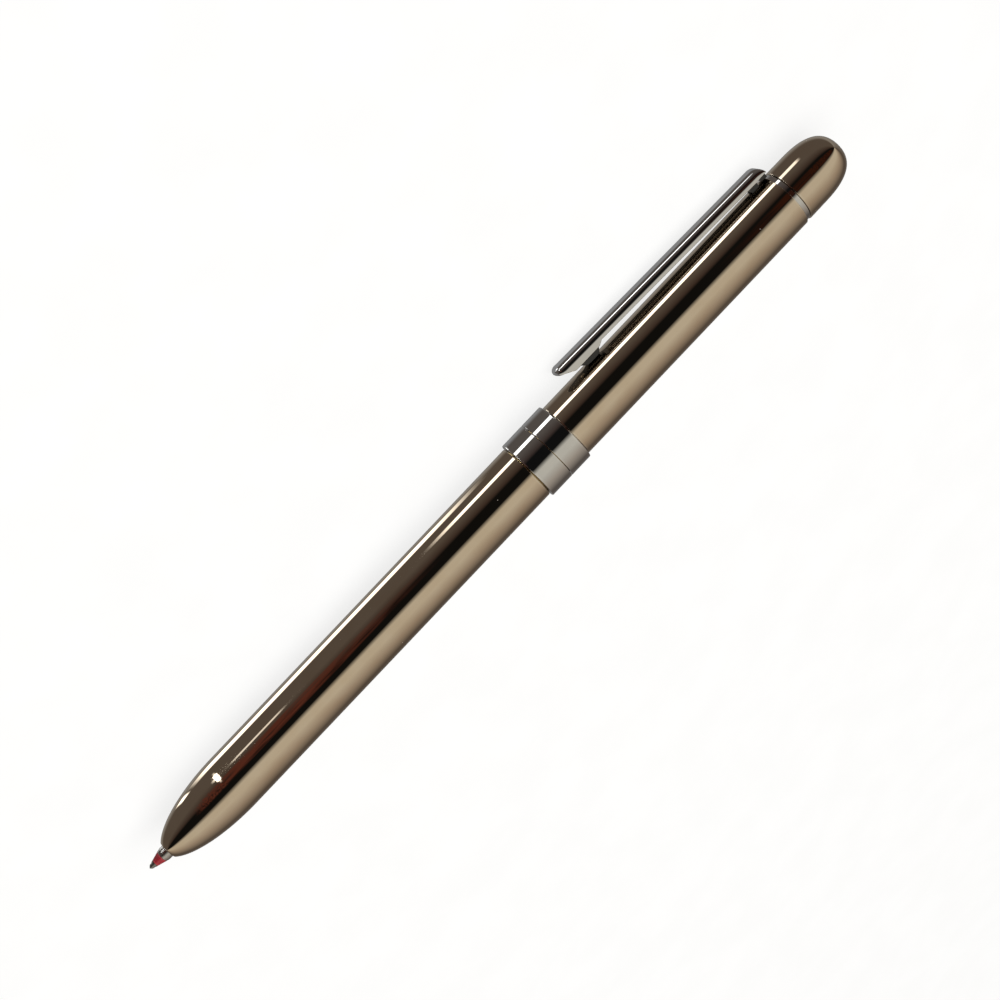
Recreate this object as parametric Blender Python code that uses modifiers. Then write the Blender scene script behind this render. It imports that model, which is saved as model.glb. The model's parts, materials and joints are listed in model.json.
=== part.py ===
"""A slim metal multi-function pen: a red and a black refill and a pencil, picked by turning the upper barrel.

The pen is modelled along the Z axis of its own empty, nose down, and that empty lays it along world +X.
Stations are measured along the pen from the split in its centre band, positive towards the crown.
"""

from math import asin, atan, atan2, cos, hypot, pi, radians, sin, sqrt, tan, tau

import bmesh
import bpy

# Driving dimensions, in metres.
NOSE_END = -0.0770
POINT_REACH = 0.0037
BARREL_END = 0.0483
CROWN_START = 0.0491
CROWN_LENGTH = 0.0098
BARREL_RADIUS = 0.00447
BAND_RADIUS = 0.00495
REFILL_LENGTH = 0.0670
REFILL_RADIUS = 0.001175
CARRIER_OFFSET = 0.00222
STROKE = 0.0090
TURN = radians(120)

# Sides of the turned pieces.
BAND_SIDES = 48
OUTER_SIDES = 40
SLEEVE_SIDES = 32
INNER_SIDES = 24
SMALL_SIDES = 14
RING_POINTS = 6

# Running clearance between pieces that slide or turn on each other, and the seams between the outer pieces.
CLEARANCE = 0.00005
SEAM = 0.0001
MERGE_DISTANCE = 0.000001

# Lower barrel: an ogive nose on a straight tube.
NOSE_MOUTH_RADIUS = 0.00146
NOSE_HOLE_RADIUS = 0.00134
OGIVE_LENGTH = 0.0133
OGIVE_STEPS = 7
CONE_DEPTH = 0.0080
CONE_RADIUS = 0.00352
TIP_CHAMBER_RADIUS = 0.0038
FRONT_BORE = 0.00395
REAR_BORE = 0.0041
BORE_STEP = -0.0250

# Coupling sleeve and centre band.
BAND_FRONT = -0.0039
LOWER_BARREL_END = BAND_FRONT - 0.00017
UPPER_BAND_END = 0.0037
SLEEVE_FRONT = -0.0100
SLEEVE_BORE = 0.00346
THREAD_RADIUS = 0.00402
THREAD_ROOT = 0.00382
THREAD_PITCH = 0.0010
THREAD_TURNS = 4
THREAD_FOOT = 0.2
THREAD_FLANK = 0.4
THREAD_RUN_OUT = 0.1
SHOULDER_RADIUS = 0.00428
COLLAR_RADIUS = 0.00395
COLLAR_END = 0.0036
GROOVE_RADIUS = 0.00362
GROOVE = (0.0013, 0.0019)
JOURNAL_RADIUS = 0.00364
JOURNAL_END = 0.0084
SPIGOT_END = 0.0073
SPIGOT_BORE = 0.00371
SPIGOT_RADIUS = 0.00403
O_RING_WIRE_RADIUS = 0.00017
RETAINING_RING = (0.0075, 0.0083)
RETAINING_RING_RADIUS = 0.00392
UPPER_BORE = 0.00406
NECK_RECESS = 0.0472
NECK_BORE = 0.00427

# Guide cage: a plate with three holes for the carrier rods, and three ribs between them.
PLATE = (-0.0042, -0.0030)
CAGE_RADIUS = 0.00341
CAGE_HOLE = 0.00080
RIB_THICKNESS = 0.0008
RIB_END = 0.0036

# Carriers, their springs and the refills.
STUB_RADIUS = 0.00068
STUB_DEPTH = 0.0023
HEAD_RADIUS = 0.00105
HEAD_LENGTH = 0.0016
FOLLOWER_LENGTH = 0.0022
FOLLOWER_CONE = 0.0010
FOLLOWER_RADIUS = 0.00042
FOLLOWER_TIP = 0.00006
CAM_TIP_EXTENDED = 0.0041
SPRING_COIL_RADIUS = 0.00086
SPRING_WIRE_RADIUS = 0.00010
SPRING_TURNS = 6
SPRING_STEPS_PER_TURN = 10

# The tip of a refill, by distance behind its point.
POINT_RADIUS = 0.00025
BALL_RADIUS = 0.00015
BALL_REACH = 0.0001
POINT_LENGTH = 0.0011
PLUG_LENGTH = 0.00135
TIP_MOUTH_RADIUS = 0.00093
FRONT_RADIUS = 0.00105
FRONT_TAPER = 0.00045
FRONT_LENGTH = 0.0120
FRONT_STEP = 0.0003
FRONT_BORE_RADIUS = 0.00085
TUBE_BORE_RADIUS = 0.00096
POINT_STEM = 0.00040
STEM_LENGTH = 0.0030
PLUG_STEM_LENGTH = 0.0040
FIT = 0.00002

# Where a refill turns on its carrier, how far out a drawn-back point stands, and where the red one meets
# the axis.
PIVOT_EXTENDED = -0.0150
RETRACTED_OFFSET = 0.00245
CROSSING = -0.0790

# Pencil unit.
PENCIL_CONE_LENGTH = 0.0080
PENCIL_SLEEVE_LENGTH = 0.0030
PENCIL_SLEEVE_RADIUS = 0.00040
LEAD_RADIUS = 0.00025
LEAD_REACH = 0.0005
LEAD_LENGTH = 0.0400

# Cam: a ring whose front face climbs to one lobe.
CAM_APEX = CAM_TIP_EXTENDED + CLEARANCE
CAM_BORE = 0.0014
CAM_RING_RADIUS = 0.00334
CAM_BASE_RADIUS = 0.0040
CAM_LIP = 0.0002
CAM_END = 0.01715
CAM_STEPS = 36

# Knock tube, its spring and guide, and what it carries.
KNOCK_FRONT = 0.0220
KNOCK_RADIUS = 0.00345
KNOCK_BORE = 0.0026
FLANGE_RADIUS = 0.0039
FLANGE_LENGTH = 0.0012
STOP_COLLAR = (0.0379, 0.0394)
BUSH = (0.0395, 0.0471)
BUSH_BORE = 0.00352
BUSH_RADIUS = 0.0040
WINDOW_MARGIN = 0.0002
CROWN_SEAT_RADIUS = 0.00366
KNOCK_END = 0.0540
LEDGE = (0.0455, 0.0460)
LEDGE_BORE = 0.0022
ERASER_RADIUS = 0.0025
ERASER_END = 0.0564
ERASER_CHAMFER = 0.0003
NECK = (0.04812, 0.04905)
NECK_RADIUS = 0.00422
KNOCK_COIL_RADIUS = 0.0031
KNOCK_WIRE_RADIUS = 0.00018
KNOCK_TURNS = 4

# Crown: a straight skirt that curves into a dome.
SKIRT_RADIUS = 0.00440
DOME_START_RADIUS = 0.00438
DOME_START = 0.0026
DOME_POWER = 2.7
DOME_STEPS = 8
CROWN_BORE = 0.00372
CROWN_BORE_DEPTH = 0.0058
CROWN_CEILING = 0.0082
CEILING_RADIUS = 0.0023

# Clip: a channel that springs from its root beside the crown, with a narrower heel on the barrel.
CLIP_START = 0.0081
CLIP_END = 0.0487
CLIP_HALF_WIDTH = 0.00168
CLIP_CORNER = 0.00112
CORNER_STEPS = 4
CLIP_CREST = 0.00755
CLIP_CREST_START = 0.0099
CLIP_NOSE_DROP = 0.00045
CLIP_SLOPE = radians(1.16)
CLIP_TURN = 0.0014
CLIP_WALL = 0.00042
CLIP_ROOF = 0.0005
CLIP_LIFT = 0.00468
SIDE_LOW = 0.00554
SIDE_LOW_RUN = (0.0108, 0.0154)
SIDE_FRONT = 0.00598
SIDE_FRONT_START = 0.0163
SIDE_REAR = 0.00536
CHANNEL = (0.0168, 0.0452)
HEEL_HALF_WIDTH = 0.00095
HEEL_HEIGHT = BARREL_RADIUS + CLEARANCE
HEEL_TOP = 0.0060
HEEL = (0.0118, 0.0127, 0.0142, 0.0153)
TAB = (0.0454, 0.0468)
TAB_HALF_WIDTH = 0.00085
TAB_DEPTH = 0.00362
FOOT_START = 0.0443
FOOT_THICKNESS = 0.00022
CLIP_HINGE = (0.0465, 0.0044)

# Steps of the clip's nose: distance behind its front, share of the full width, rise of the underside.
CLIP_NOSE = ((0, 0.45, 0.0010), (0.0003, 0.74, 0.00095), (0.0009, 0.93, 0.00085), (0.0018, 1.0, 0.00045))

# Shares: the largest corner of a clip section, and the steps of its turned-down end.
CORNER_OF_WIDTH = 0.9
CORNER_OF_DEPTH = 0.8
TURN_SHARES = (0.5, 0.85)

# Worked out from the dimensions above.
POINT_END = NOSE_END - POINT_REACH
BAND_MIDDLE = BAND_FRONT / 2
AXIS_HEIGHT = BAND_RADIUS * cos(pi / BAND_SIDES)
TILT_IN = atan(CARRIER_OFFSET / (PIVOT_EXTENDED - CROSSING))
TILT_OUT = atan((RETRACTED_OFFSET - CARRIER_OFFSET) / (PIVOT_EXTENDED - POINT_END))
REFILL_REACH = (PIVOT_EXTENDED - POINT_END) / cos(TILT_IN)
TIP_TAPER = (TIP_MOUTH_RADIUS - POINT_RADIUS) / (POINT_LENGTH + PLUG_LENGTH)
UP = pi
RED_ANGLE = UP
BLACK_ANGLE = RED_ANGLE + TURN
PENCIL_ANGLE = RED_ANGLE - TURN


def clip_angle():
    """The turn about the axis, from straight down, at which the clip's crest corner just meets the table."""
    height = CLIP_CREST - CLIP_CORNER
    side = CLIP_HALF_WIDTH - CLIP_CORNER
    return atan2(side, height) + pi / 2 - asin((AXIS_HEIGHT - CLIP_CORNER - FIT) / hypot(height, side))


def clear_scene():
    for existing in list(bpy.data.objects):
        bpy.data.objects.remove(existing, do_unlink=True)


def new_collection(name):
    collection = bpy.data.collections.new(name)
    bpy.context.scene.collection.children.link(collection)
    return collection


def new_material(name, colour, metallic, roughness):
    material = bpy.data.materials.new(name)
    material.use_nodes = True
    shader = material.node_tree.nodes["Principled BSDF"]
    shader.inputs["Base Color"].default_value = (*colour, 1.0)
    shader.inputs["Metallic"].default_value = metallic
    shader.inputs["Roughness"].default_value = roughness
    return material


def empty(name, parent, location=(0, 0, 0), rotation=(0, 0, 0)):
    frame = bpy.data.objects.new(name, None)
    frame.parent = parent
    frame.location = location
    frame.rotation_euler = rotation
    parts.objects.link(frame)
    return frame


def place(name, mesh, parent, look, collection=None):
    piece = bpy.data.objects.new(name, mesh)
    piece.parent = parent
    if look:
        mesh.materials.append(new_material(name, *look))
    (collection or parts).objects.link(piece)
    return piece


def turned(name, parent, look, outer, bore=(), sides=INNER_SIDES):
    """Turn an outline about the pen's axis. Both outlines are (station, radius) pairs, nose to crown.

    An outline that ends on the axis is left open there. Any other is closed into a ring.
    """
    outline = [(radius, 0, station) for station, radius in reversed(outer)]
    outline += [(radius, 0, station) for station, radius in bore]
    count = len(outline)
    edges = [(i, i + 1) for i in range(count - 1)]
    if outline[0][0] > 0:
        edges.append((count - 1, 0))
    mesh = bpy.data.meshes.new(name)
    mesh.from_pydata(outline, edges, [])
    piece = place(name, mesh, parent, look)
    screw = piece.modifiers.new("turn", "SCREW")
    screw.steps = screw.render_steps = sides
    screw.use_merge_vertices = True
    screw.merge_threshold = MERGE_DISTANCE
    return piece


def tube(first, last, radius):
    return [(first, radius), (last, radius)]


def rod(first, last, radius):
    return [(first, 0), (first, radius), (last, radius), (last, 0)]


def box(name, parent, stations, half_width, heights):
    """A cutter or joined block, in a frame whose X points outward, Y sideways and Z along the pen."""
    mesh = bpy.data.meshes.new(name)
    block = bmesh.new()
    bmesh.ops.create_cube(block, size=1)
    low, high = heights
    first, last = stations
    for corner in block.verts:
        corner.co.x = high if corner.co.x > 0 else low
        corner.co.y = half_width if corner.co.y > 0 else -half_width
        corner.co.z = last if corner.co.z > 0 else first
    block.to_mesh(mesh)
    block.free()
    return place_tool(name, mesh, parent)


def round_tool(name, parent, radius, stations, offset):
    mesh = bpy.data.meshes.new(name)
    drill = bmesh.new()
    first, last = stations
    bmesh.ops.create_cone(
        drill, cap_ends=True, segments=SMALL_SIDES, radius1=radius, radius2=radius, depth=last - first
    )
    bmesh.ops.translate(drill, verts=drill.verts, vec=(offset, 0, (first + last) / 2))
    drill.to_mesh(mesh)
    drill.free()
    return place_tool(name, mesh, parent)


def place_tool(name, mesh, parent):
    tool = place(name, mesh, parent, None, tools)
    tool.hide_render = True
    tool.display_type = "WIRE"
    return tool


def combine(piece, tool, operation):
    step = piece.modifiers.new(tool.name, "BOOLEAN")
    step.operation = operation
    step.solver = "EXACT"
    step.object = tool


def coil(name, parent, look, coil_radius, wire_radius, stations, turns, offset=0.0):
    """A compression spring: a helix of round wire between two stations."""
    first, last = stations[0] + wire_radius, stations[1] - wire_radius
    count = turns * SPRING_STEPS_PER_TURN + 1
    curve = bpy.data.curves.new(name, "CURVE")
    curve.dimensions = "3D"
    curve.bevel_depth = wire_radius
    curve.bevel_resolution = 0
    curve.use_fill_caps = True
    spline = curve.splines.new("POLY")
    spline.points.add(count - 1)
    for i, point in enumerate(spline.points):
        share = i / (count - 1)
        angle = tau * turns * share
        along = first + (last - first) * share
        point.co = (offset + coil_radius * cos(angle), coil_radius * sin(angle), along, 1)
    return place(name, curve, parent, look)


def ogive(distance):
    """The nose's outer radius, by distance behind its mouth."""
    full = OGIVE_LENGTH * sqrt(1 / (1 - (NOSE_MOUTH_RADIUS / BARREL_RADIUS) ** 2))
    return BARREL_RADIUS * sqrt(1 - ((OGIVE_LENGTH - distance) / full) ** 2)


def make_lower_barrel(frame):
    outer = []
    for i in range(OGIVE_STEPS + 1):
        distance = OGIVE_LENGTH * (i / OGIVE_STEPS) ** 2
        outer.append((NOSE_END + distance, ogive(distance)))
    outer.append((LOWER_BARREL_END, BARREL_RADIUS))
    bore = [
        (NOSE_END, NOSE_HOLE_RADIUS),
        (NOSE_END + CONE_DEPTH, CONE_RADIUS),
        (NOSE_END + OGIVE_LENGTH, TIP_CHAMBER_RADIUS),
        (BORE_STEP, FRONT_BORE),
        (BORE_STEP + SEAM, REAR_BORE),
        (LOWER_BARREL_END, REAR_BORE),
    ]
    turned("lower_barrel", frame, BRONZE, outer, bore, OUTER_SIDES)


def make_coupling_sleeve(frame):
    outer = [(SLEEVE_FRONT, THREAD_ROOT)]
    for i in range(THREAD_TURNS):
        start = SLEEVE_FRONT + THREAD_PITCH * (i + THREAD_FOOT)
        outer += [(start, THREAD_ROOT), (start + THREAD_PITCH * THREAD_FLANK, THREAD_RADIUS)]
    outer += [
        (SLEEVE_FRONT + THREAD_PITCH * (THREAD_TURNS + THREAD_RUN_OUT), THREAD_ROOT),
        (BAND_FRONT, THREAD_ROOT),
        (BAND_FRONT, SHOULDER_RADIUS),
        (-SEAM, SHOULDER_RADIUS),
        (-SEAM, COLLAR_RADIUS),
        (GROOVE[0], COLLAR_RADIUS),
        (GROOVE[0], GROOVE_RADIUS + FIT),
        (GROOVE[1], GROOVE_RADIUS + FIT),
        (GROOVE[1], COLLAR_RADIUS),
        (COLLAR_END, COLLAR_RADIUS),
        (COLLAR_END, JOURNAL_RADIUS),
        (JOURNAL_END, JOURNAL_RADIUS),
    ]
    turned("coupling_sleeve", frame, BRASS, outer, tube(SLEEVE_FRONT, JOURNAL_END, SLEEVE_BORE), SLEEVE_SIDES)


def make_band(name, frame, stations, bore, spigot=()):
    outer = tube(*stations, BAND_RADIUS) + list(spigot)
    band = turned(name, frame, CHROME, outer, bore, BAND_SIDES)
    band.rotation_euler.z = pi / BAND_SIDES
    return band


def make_lower_band(frame):
    bore = tube(BAND_FRONT, -SEAM / 2, SHOULDER_RADIUS + CLEARANCE)
    make_band("lower_band", frame, (BAND_FRONT, -SEAM / 2), bore)


def make_upper_band(frame):
    spigot = tube(UPPER_BAND_END, SPIGOT_END, SPIGOT_RADIUS)
    bore = [
        (SEAM / 2, UPPER_BORE),
        (UPPER_BAND_END - SEAM, UPPER_BORE),
        (UPPER_BAND_END - SEAM, SPIGOT_BORE),
        (SPIGOT_END, SPIGOT_BORE),
    ]
    make_band("upper_band", frame, (SEAM / 2, UPPER_BAND_END), bore, spigot)


def make_o_ring(frame):
    middle = (GROOVE[0] + GROOVE[1]) / 2
    centre = GROOVE_RADIUS + 2 * FIT + O_RING_WIRE_RADIUS
    section = []
    for i in range(RING_POINTS):
        angle = tau * i / RING_POINTS
        section.append((middle + O_RING_WIRE_RADIUS * sin(angle), centre + O_RING_WIRE_RADIUS * cos(angle)))
    turned("friction_o_ring", frame, RUBBER, section, sides=SLEEVE_SIDES)


def make_retaining_ring(frame):
    bore = tube(*RETAINING_RING, JOURNAL_RADIUS + CLEARANCE)
    turned("retaining_ring", frame, STEEL, tube(*RETAINING_RING, RETAINING_RING_RADIUS), bore)


def make_guide_cage(frame):
    cage = turned("guide_cage", frame, NATURAL_PLASTIC, rod(*PLATE, CAGE_RADIUS))
    for i in range(3):
        turn = RED_ANGLE + i * TURN
        rib_frame = empty(f"cage_rib_frame_{i}", frame, rotation=(0, 0, turn + TURN / 2))
        stations = (PLATE[0] + FIT, RIB_END)
        rib = box(f"cage_rib_{i}", rib_frame, stations, RIB_THICKNESS / 2, (-FIT, CAGE_RADIUS - FIT))
        combine(cage, rib, "UNION")
    for i in range(3):
        hole_frame = empty(f"cage_hole_frame_{i}", frame, rotation=(0, 0, RED_ANGLE + i * TURN))
        hole = (PLATE[0] - SEAM, PLATE[1] + SEAM)
        combine(cage, round_tool(f"cage_hole_{i}", hole_frame, CAGE_HOLE, hole, CARRIER_OFFSET), "DIFFERENCE")


def make_carrier(colour_name, frame):
    """The rod that holds one refill: a stub in the refill, a head on the spring and a pointed cam follower.

    The frame stands on the carrier's own line, with the follower's tip at its origin.
    """
    head_end = -FOLLOWER_LENGTH
    head_start = head_end - HEAD_LENGTH
    refill_rear = POINT_END + REFILL_LENGTH - CAM_TIP_EXTENDED
    outer = [
        (refill_rear - STUB_DEPTH, 0),
        (refill_rear - STUB_DEPTH, STUB_RADIUS),
        (head_start, STUB_RADIUS),
        (head_start, HEAD_RADIUS),
        (head_end, HEAD_RADIUS),
        (head_end, FOLLOWER_RADIUS),
        (-FOLLOWER_CONE, FOLLOWER_RADIUS),
        (0, FOLLOWER_TIP),
        (0, 0),
    ]
    turned(f"{colour_name}_carrier", frame, CARRIER_PLASTIC, outer, sides=SMALL_SIDES)


def make_carrier_spring(colour_name, frame, drawn_back):
    head_start = CAM_TIP_EXTENDED + drawn_back - FOLLOWER_LENGTH - HEAD_LENGTH
    stations = (PLATE[1] + FIT, head_start - FIT)
    coil(
        f"{colour_name}_spring", frame, STEEL, SPRING_COIL_RADIUS, SPRING_WIRE_RADIUS, stations, SPRING_TURNS,
        CARRIER_OFFSET,
    )


def make_refill(colour_name, frame, ink):
    """A ballpoint refill along its frame's Z axis. The frame stands where the refill turns on its carrier."""
    tip = -REFILL_REACH
    plug_start = tip + POINT_LENGTH
    front = plug_start + PLUG_LENGTH
    step = tip + FRONT_LENGTH
    plug_radius = POINT_RADIUS + TIP_TAPER * POINT_LENGTH
    tube_outer = [
        (front, TIP_MOUTH_RADIUS),
        (front + FRONT_TAPER, FRONT_RADIUS),
        (step, FRONT_RADIUS),
        (step + FRONT_STEP, REFILL_RADIUS),
        (tip + REFILL_LENGTH, REFILL_RADIUS),
    ]
    tube_bore = [
        (front, FRONT_BORE_RADIUS),
        (step, FRONT_BORE_RADIUS),
        (step + FRONT_STEP, TUBE_BORE_RADIUS),
        (tip + REFILL_LENGTH, TUBE_BORE_RADIUS),
    ]
    turned(f"{colour_name}_refill_tube", frame, STEEL, tube_outer, tube_bore, SMALL_SIDES)
    plug_outer = [
        (plug_start, plug_radius),
        (front - FIT, TIP_MOUTH_RADIUS),
        (front - FIT, FRONT_BORE_RADIUS - FIT),
        (front + PLUG_STEM_LENGTH, FRONT_BORE_RADIUS - FIT),
    ]
    plug_bore = tube(plug_start, front + PLUG_STEM_LENGTH, POINT_STEM + FIT)
    turned(f"{colour_name}_colour_plug", frame, ink, plug_outer, plug_bore, SMALL_SIDES)
    point_outer = [
        (tip, 0),
        (tip, BALL_RADIUS),
        (tip + BALL_REACH, POINT_RADIUS + TIP_TAPER * BALL_REACH),
        (plug_start - FIT, plug_radius),
        (plug_start - FIT, POINT_STEM),
        (plug_start + STEM_LENGTH, POINT_STEM),
        (plug_start + STEM_LENGTH, 0),
    ]
    turned(f"{colour_name}_point", frame, DARK_STEEL, point_outer, sides=SMALL_SIDES)


def make_pencil(frame):
    """The pencil unit, drawn back: a tube body, a stepped cone, the lead sleeve and the lead."""
    tip = POINT_END + STROKE
    cone_end = tip + PENCIL_CONE_LENGTH
    rear = tip + REFILL_LENGTH
    body_outer = tube(cone_end, rear, REFILL_RADIUS)
    body_bore = tube(cone_end, rear, TUBE_BORE_RADIUS)
    turned("pencil_body", frame, STEEL, body_outer, body_bore, SMALL_SIDES)
    cone_start = tip + PENCIL_SLEEVE_LENGTH
    cone_outer = [
        (cone_start, PENCIL_SLEEVE_RADIUS + SEAM),
        (cone_end - FIT, FRONT_RADIUS),
        (cone_end - FIT, TUBE_BORE_RADIUS - FIT),
        (cone_end + STEM_LENGTH, TUBE_BORE_RADIUS - FIT),
    ]
    cone_bore = tube(cone_start, cone_end + STEM_LENGTH, PENCIL_SLEEVE_RADIUS + FIT)
    turned("pencil_cone", frame, CHROME, cone_outer, cone_bore, SMALL_SIDES)
    sleeve_bore = tube(tip, cone_end, LEAD_RADIUS + FIT)
    sleeve_outer = tube(tip, cone_end, PENCIL_SLEEVE_RADIUS)
    turned("pencil_lead_sleeve", frame, STEEL, sleeve_outer, sleeve_bore, SMALL_SIDES)
    lead = rod(tip - LEAD_REACH, tip + LEAD_LENGTH, LEAD_RADIUS)
    turned("pencil_lead", frame, GRAPHITE, lead, sides=SMALL_SIDES)


def make_cam(frame):
    """A ring cam. Its front face climbs evenly to the lobe on both sides, over one turn step each."""
    mesh = bpy.data.meshes.new("cam")
    cam = bmesh.new()
    floor = CAM_APEX + STROKE
    rings = []
    for i in range(CAM_STEPS):
        angle = tau * i / CAM_STEPS
        away = min(angle, tau - angle)
        front = floor - STROKE * max(0.0, 1 - away / TURN)
        section = [
            (front, CAM_BORE),
            (front, CAM_RING_RADIUS),
            (floor + CAM_LIP, CAM_RING_RADIUS),
            (floor + CAM_LIP, CAM_BASE_RADIUS),
            (CAM_END, CAM_BASE_RADIUS),
            (CAM_END, CAM_BORE),
        ]
        rings.append([cam.verts.new((r * cos(angle), r * sin(angle), z)) for z, r in section])
    for ring, following in zip(rings, rings[1:] + rings[:1]):
        loop = list(zip(ring, following))
        for (a, b), (c, d) in zip(loop, loop[1:] + loop[:1]):
            cam.faces.new((a, b, d, c))
    bmesh.ops.recalc_face_normals(cam, faces=cam.faces)
    cam.to_mesh(mesh)
    cam.free()
    piece = place("cam", mesh, frame, CAM_PLASTIC)
    piece.rotation_euler.z = RED_ANGLE


def make_upper_barrel(frame, clip_frame):
    start = UPPER_BAND_END + SEAM
    bore = tube(start, NECK_RECESS, UPPER_BORE) + tube(NECK_RECESS, BARREL_END, NECK_BORE)
    barrel = turned("upper_barrel", frame, BRONZE, tube(start, BARREL_END, BARREL_RADIUS), bore, OUTER_SIDES)
    slot = (TAB[0] - SEAM, TAB[1] + SEAM)
    cutter = box("clip_slot", clip_frame, slot, TAB_HALF_WIDTH + SEAM, (KNOCK_RADIUS, CLIP_CREST))
    combine(barrel, cutter, "DIFFERENCE")


def make_guide_bush(frame, clip_frame):
    bore = tube(*BUSH, BUSH_BORE)
    bush = turned("guide_bush", frame, CARRIER_PLASTIC, tube(*BUSH, BUSH_RADIUS), bore)
    window = (FOOT_START - WINDOW_MARGIN, BUSH[1] + SEAM)
    half_width = TAB_HALF_WIDTH + WINDOW_MARGIN
    combine(bush, box("bush_window", clip_frame, window, half_width, (KNOCK_BORE, BARREL_RADIUS)), "DIFFERENCE")


def make_knock_tube(frame):
    outer = [
        (KNOCK_FRONT, FLANGE_RADIUS),
        (KNOCK_FRONT + FLANGE_LENGTH, FLANGE_RADIUS),
        (KNOCK_FRONT + FLANGE_LENGTH, KNOCK_RADIUS),
        (STOP_COLLAR[0], KNOCK_RADIUS),
        (STOP_COLLAR[0], FLANGE_RADIUS),
        (STOP_COLLAR[1], FLANGE_RADIUS),
        (STOP_COLLAR[1], KNOCK_RADIUS),
        (CROWN_START, KNOCK_RADIUS),
        (CROWN_START, CROWN_SEAT_RADIUS),
        (KNOCK_END, CROWN_SEAT_RADIUS),
    ]
    bore = [
        (KNOCK_FRONT, KNOCK_BORE),
        (LEDGE[0], KNOCK_BORE),
        (LEDGE[0], LEDGE_BORE),
        (LEDGE[1], LEDGE_BORE),
        (LEDGE[1], ERASER_RADIUS + CLEARANCE),
        (KNOCK_END, ERASER_RADIUS + CLEARANCE),
    ]
    turned("knock_tube", frame, BRASS, outer, bore)


def make_knock_pieces(frame):
    make_knock_tube(frame)
    neck_bore = tube(*NECK, KNOCK_RADIUS + CLEARANCE)
    turned("neck_ring", frame, CHROME, tube(*NECK, NECK_RADIUS), neck_bore, OUTER_SIDES)
    eraser = [
        (LEDGE[1] + CLEARANCE, 0),
        (LEDGE[1] + CLEARANCE, ERASER_RADIUS),
        (ERASER_END - ERASER_CHAMFER, ERASER_RADIUS),
        (ERASER_END, ERASER_RADIUS - ERASER_CHAMFER),
        (ERASER_END, 0),
    ]
    turned("eraser", frame, ERASER_WHITE, eraser)


def make_crown(frame):
    outer = [(0, SKIRT_RADIUS - SEAM / 2), (SEAM / 2, SKIRT_RADIUS)]
    dome_length = CROWN_LENGTH - DOME_START
    for i in range(DOME_STEPS):
        angle = pi / 2 * i / DOME_STEPS
        radius = DOME_START_RADIUS * cos(angle) ** (2 / DOME_POWER)
        outer.append((DOME_START + dome_length * sin(angle) ** (2 / DOME_POWER), radius))
    outer.append((CROWN_LENGTH, 0))
    inner = tube(0, CROWN_BORE_DEPTH, CROWN_BORE) + [(CROWN_CEILING, CEILING_RADIUS), (CROWN_CEILING, 0)]
    crown = turned("crown", frame, BRONZE, outer, inner, OUTER_SIDES)
    crown.location.z = CROWN_START


def clip_crest(station):
    """The crest's height over the pen's axis: a nose, a long straight fall and a turned-down end."""
    height = CLIP_CREST - tan(CLIP_SLOPE) * (max(station, CLIP_CREST_START) - CLIP_CREST_START)
    past = station - (CLIP_END - CLIP_TURN)
    if past > 0:
        height -= CLIP_TURN - sqrt(CLIP_TURN**2 - past**2)
    nose = max(0.0, CLIP_CREST_START - station) / (CLIP_CREST_START - CLIP_START)
    return height - CLIP_NOSE_DROP * nose**2


def clip_section(station, half_width, bottom):
    """Half-round-topped outline at a station, as (height, side) pairs."""
    crest = clip_crest(station)
    corner = min(CLIP_CORNER, CORNER_OF_WIDTH * half_width, CORNER_OF_DEPTH * (crest - bottom))
    points = [(bottom, -half_width)]
    for side in (-1, 1):
        for i in range(CORNER_STEPS + 1):
            angle = pi / 2 * (i if side < 0 else CORNER_STEPS - i) / CORNER_STEPS
            height = crest - corner + corner * sin(angle)
            points.append((height, side * (half_width - corner + corner * cos(angle))))
    points.append((bottom, half_width))
    return points


def loft(name, sections):
    """Skin a run of closed outlines, each (station, points), and close both ends."""
    mesh = bpy.data.meshes.new(name)
    skin = bmesh.new()
    rings = [[skin.verts.new((x, y, station)) for x, y in points] for station, points in sections]
    for ring, following in zip(rings, rings[1:]):
        for i in range(len(ring)):
            j = (i + 1) % len(ring)
            skin.faces.new((ring[i], ring[j], following[j], following[i]))
    skin.faces.new(rings[0])
    skin.faces.new(rings[-1])
    bmesh.ops.recalc_face_normals(skin, faces=skin.faces)
    skin.to_mesh(mesh)
    skin.free()
    return mesh


def clip_stations():
    """(station, half width, underside height) along the clip's solid form."""
    wide = CLIP_HALF_WIDTH
    turn_start = CLIP_END - CLIP_TURN
    stations = [(CLIP_START + behind, share * wide, SIDE_LOW + rise) for behind, share, rise in CLIP_NOSE]
    stations += [
        (SIDE_LOW_RUN[0], wide, SIDE_LOW),
        (SIDE_LOW_RUN[1], wide, SIDE_LOW),
        (SIDE_FRONT_START, wide, SIDE_FRONT),
        (TAB[0], wide, SIDE_REAR),
        (turn_start, wide, SIDE_REAR),
    ]
    stations += [(turn_start + share * CLIP_TURN, wide, CLIP_LIFT) for share in TURN_SHARES]
    return stations + [(CLIP_END - FIT, wide, CLIP_LIFT)]


def channel_cuts():
    """The channel's two end sections, from under the roof to well below the side walls."""
    inner = CLIP_HALF_WIDTH - CLIP_WALL
    cuts = []
    for station in CHANNEL:
        roof = clip_crest(station) - CLIP_ROOF
        low = BARREL_RADIUS - CLIP_ROOF
        cuts.append((station, [(low, -inner), (roof, -inner), (roof, inner), (low, inner)]))
    return cuts


def heel_sections():
    """A block under the side walls whose foot rests on the barrel."""
    half = HEEL_HALF_WIDTH
    sections = []
    for station, foot in zip(HEEL, (SIDE_LOW, HEEL_HEIGHT, HEEL_HEIGHT, SIDE_LOW)):
        sections.append((station, [(foot, -half), (HEEL_TOP, -half), (HEEL_TOP, half), (foot, half)]))
    return sections


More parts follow.
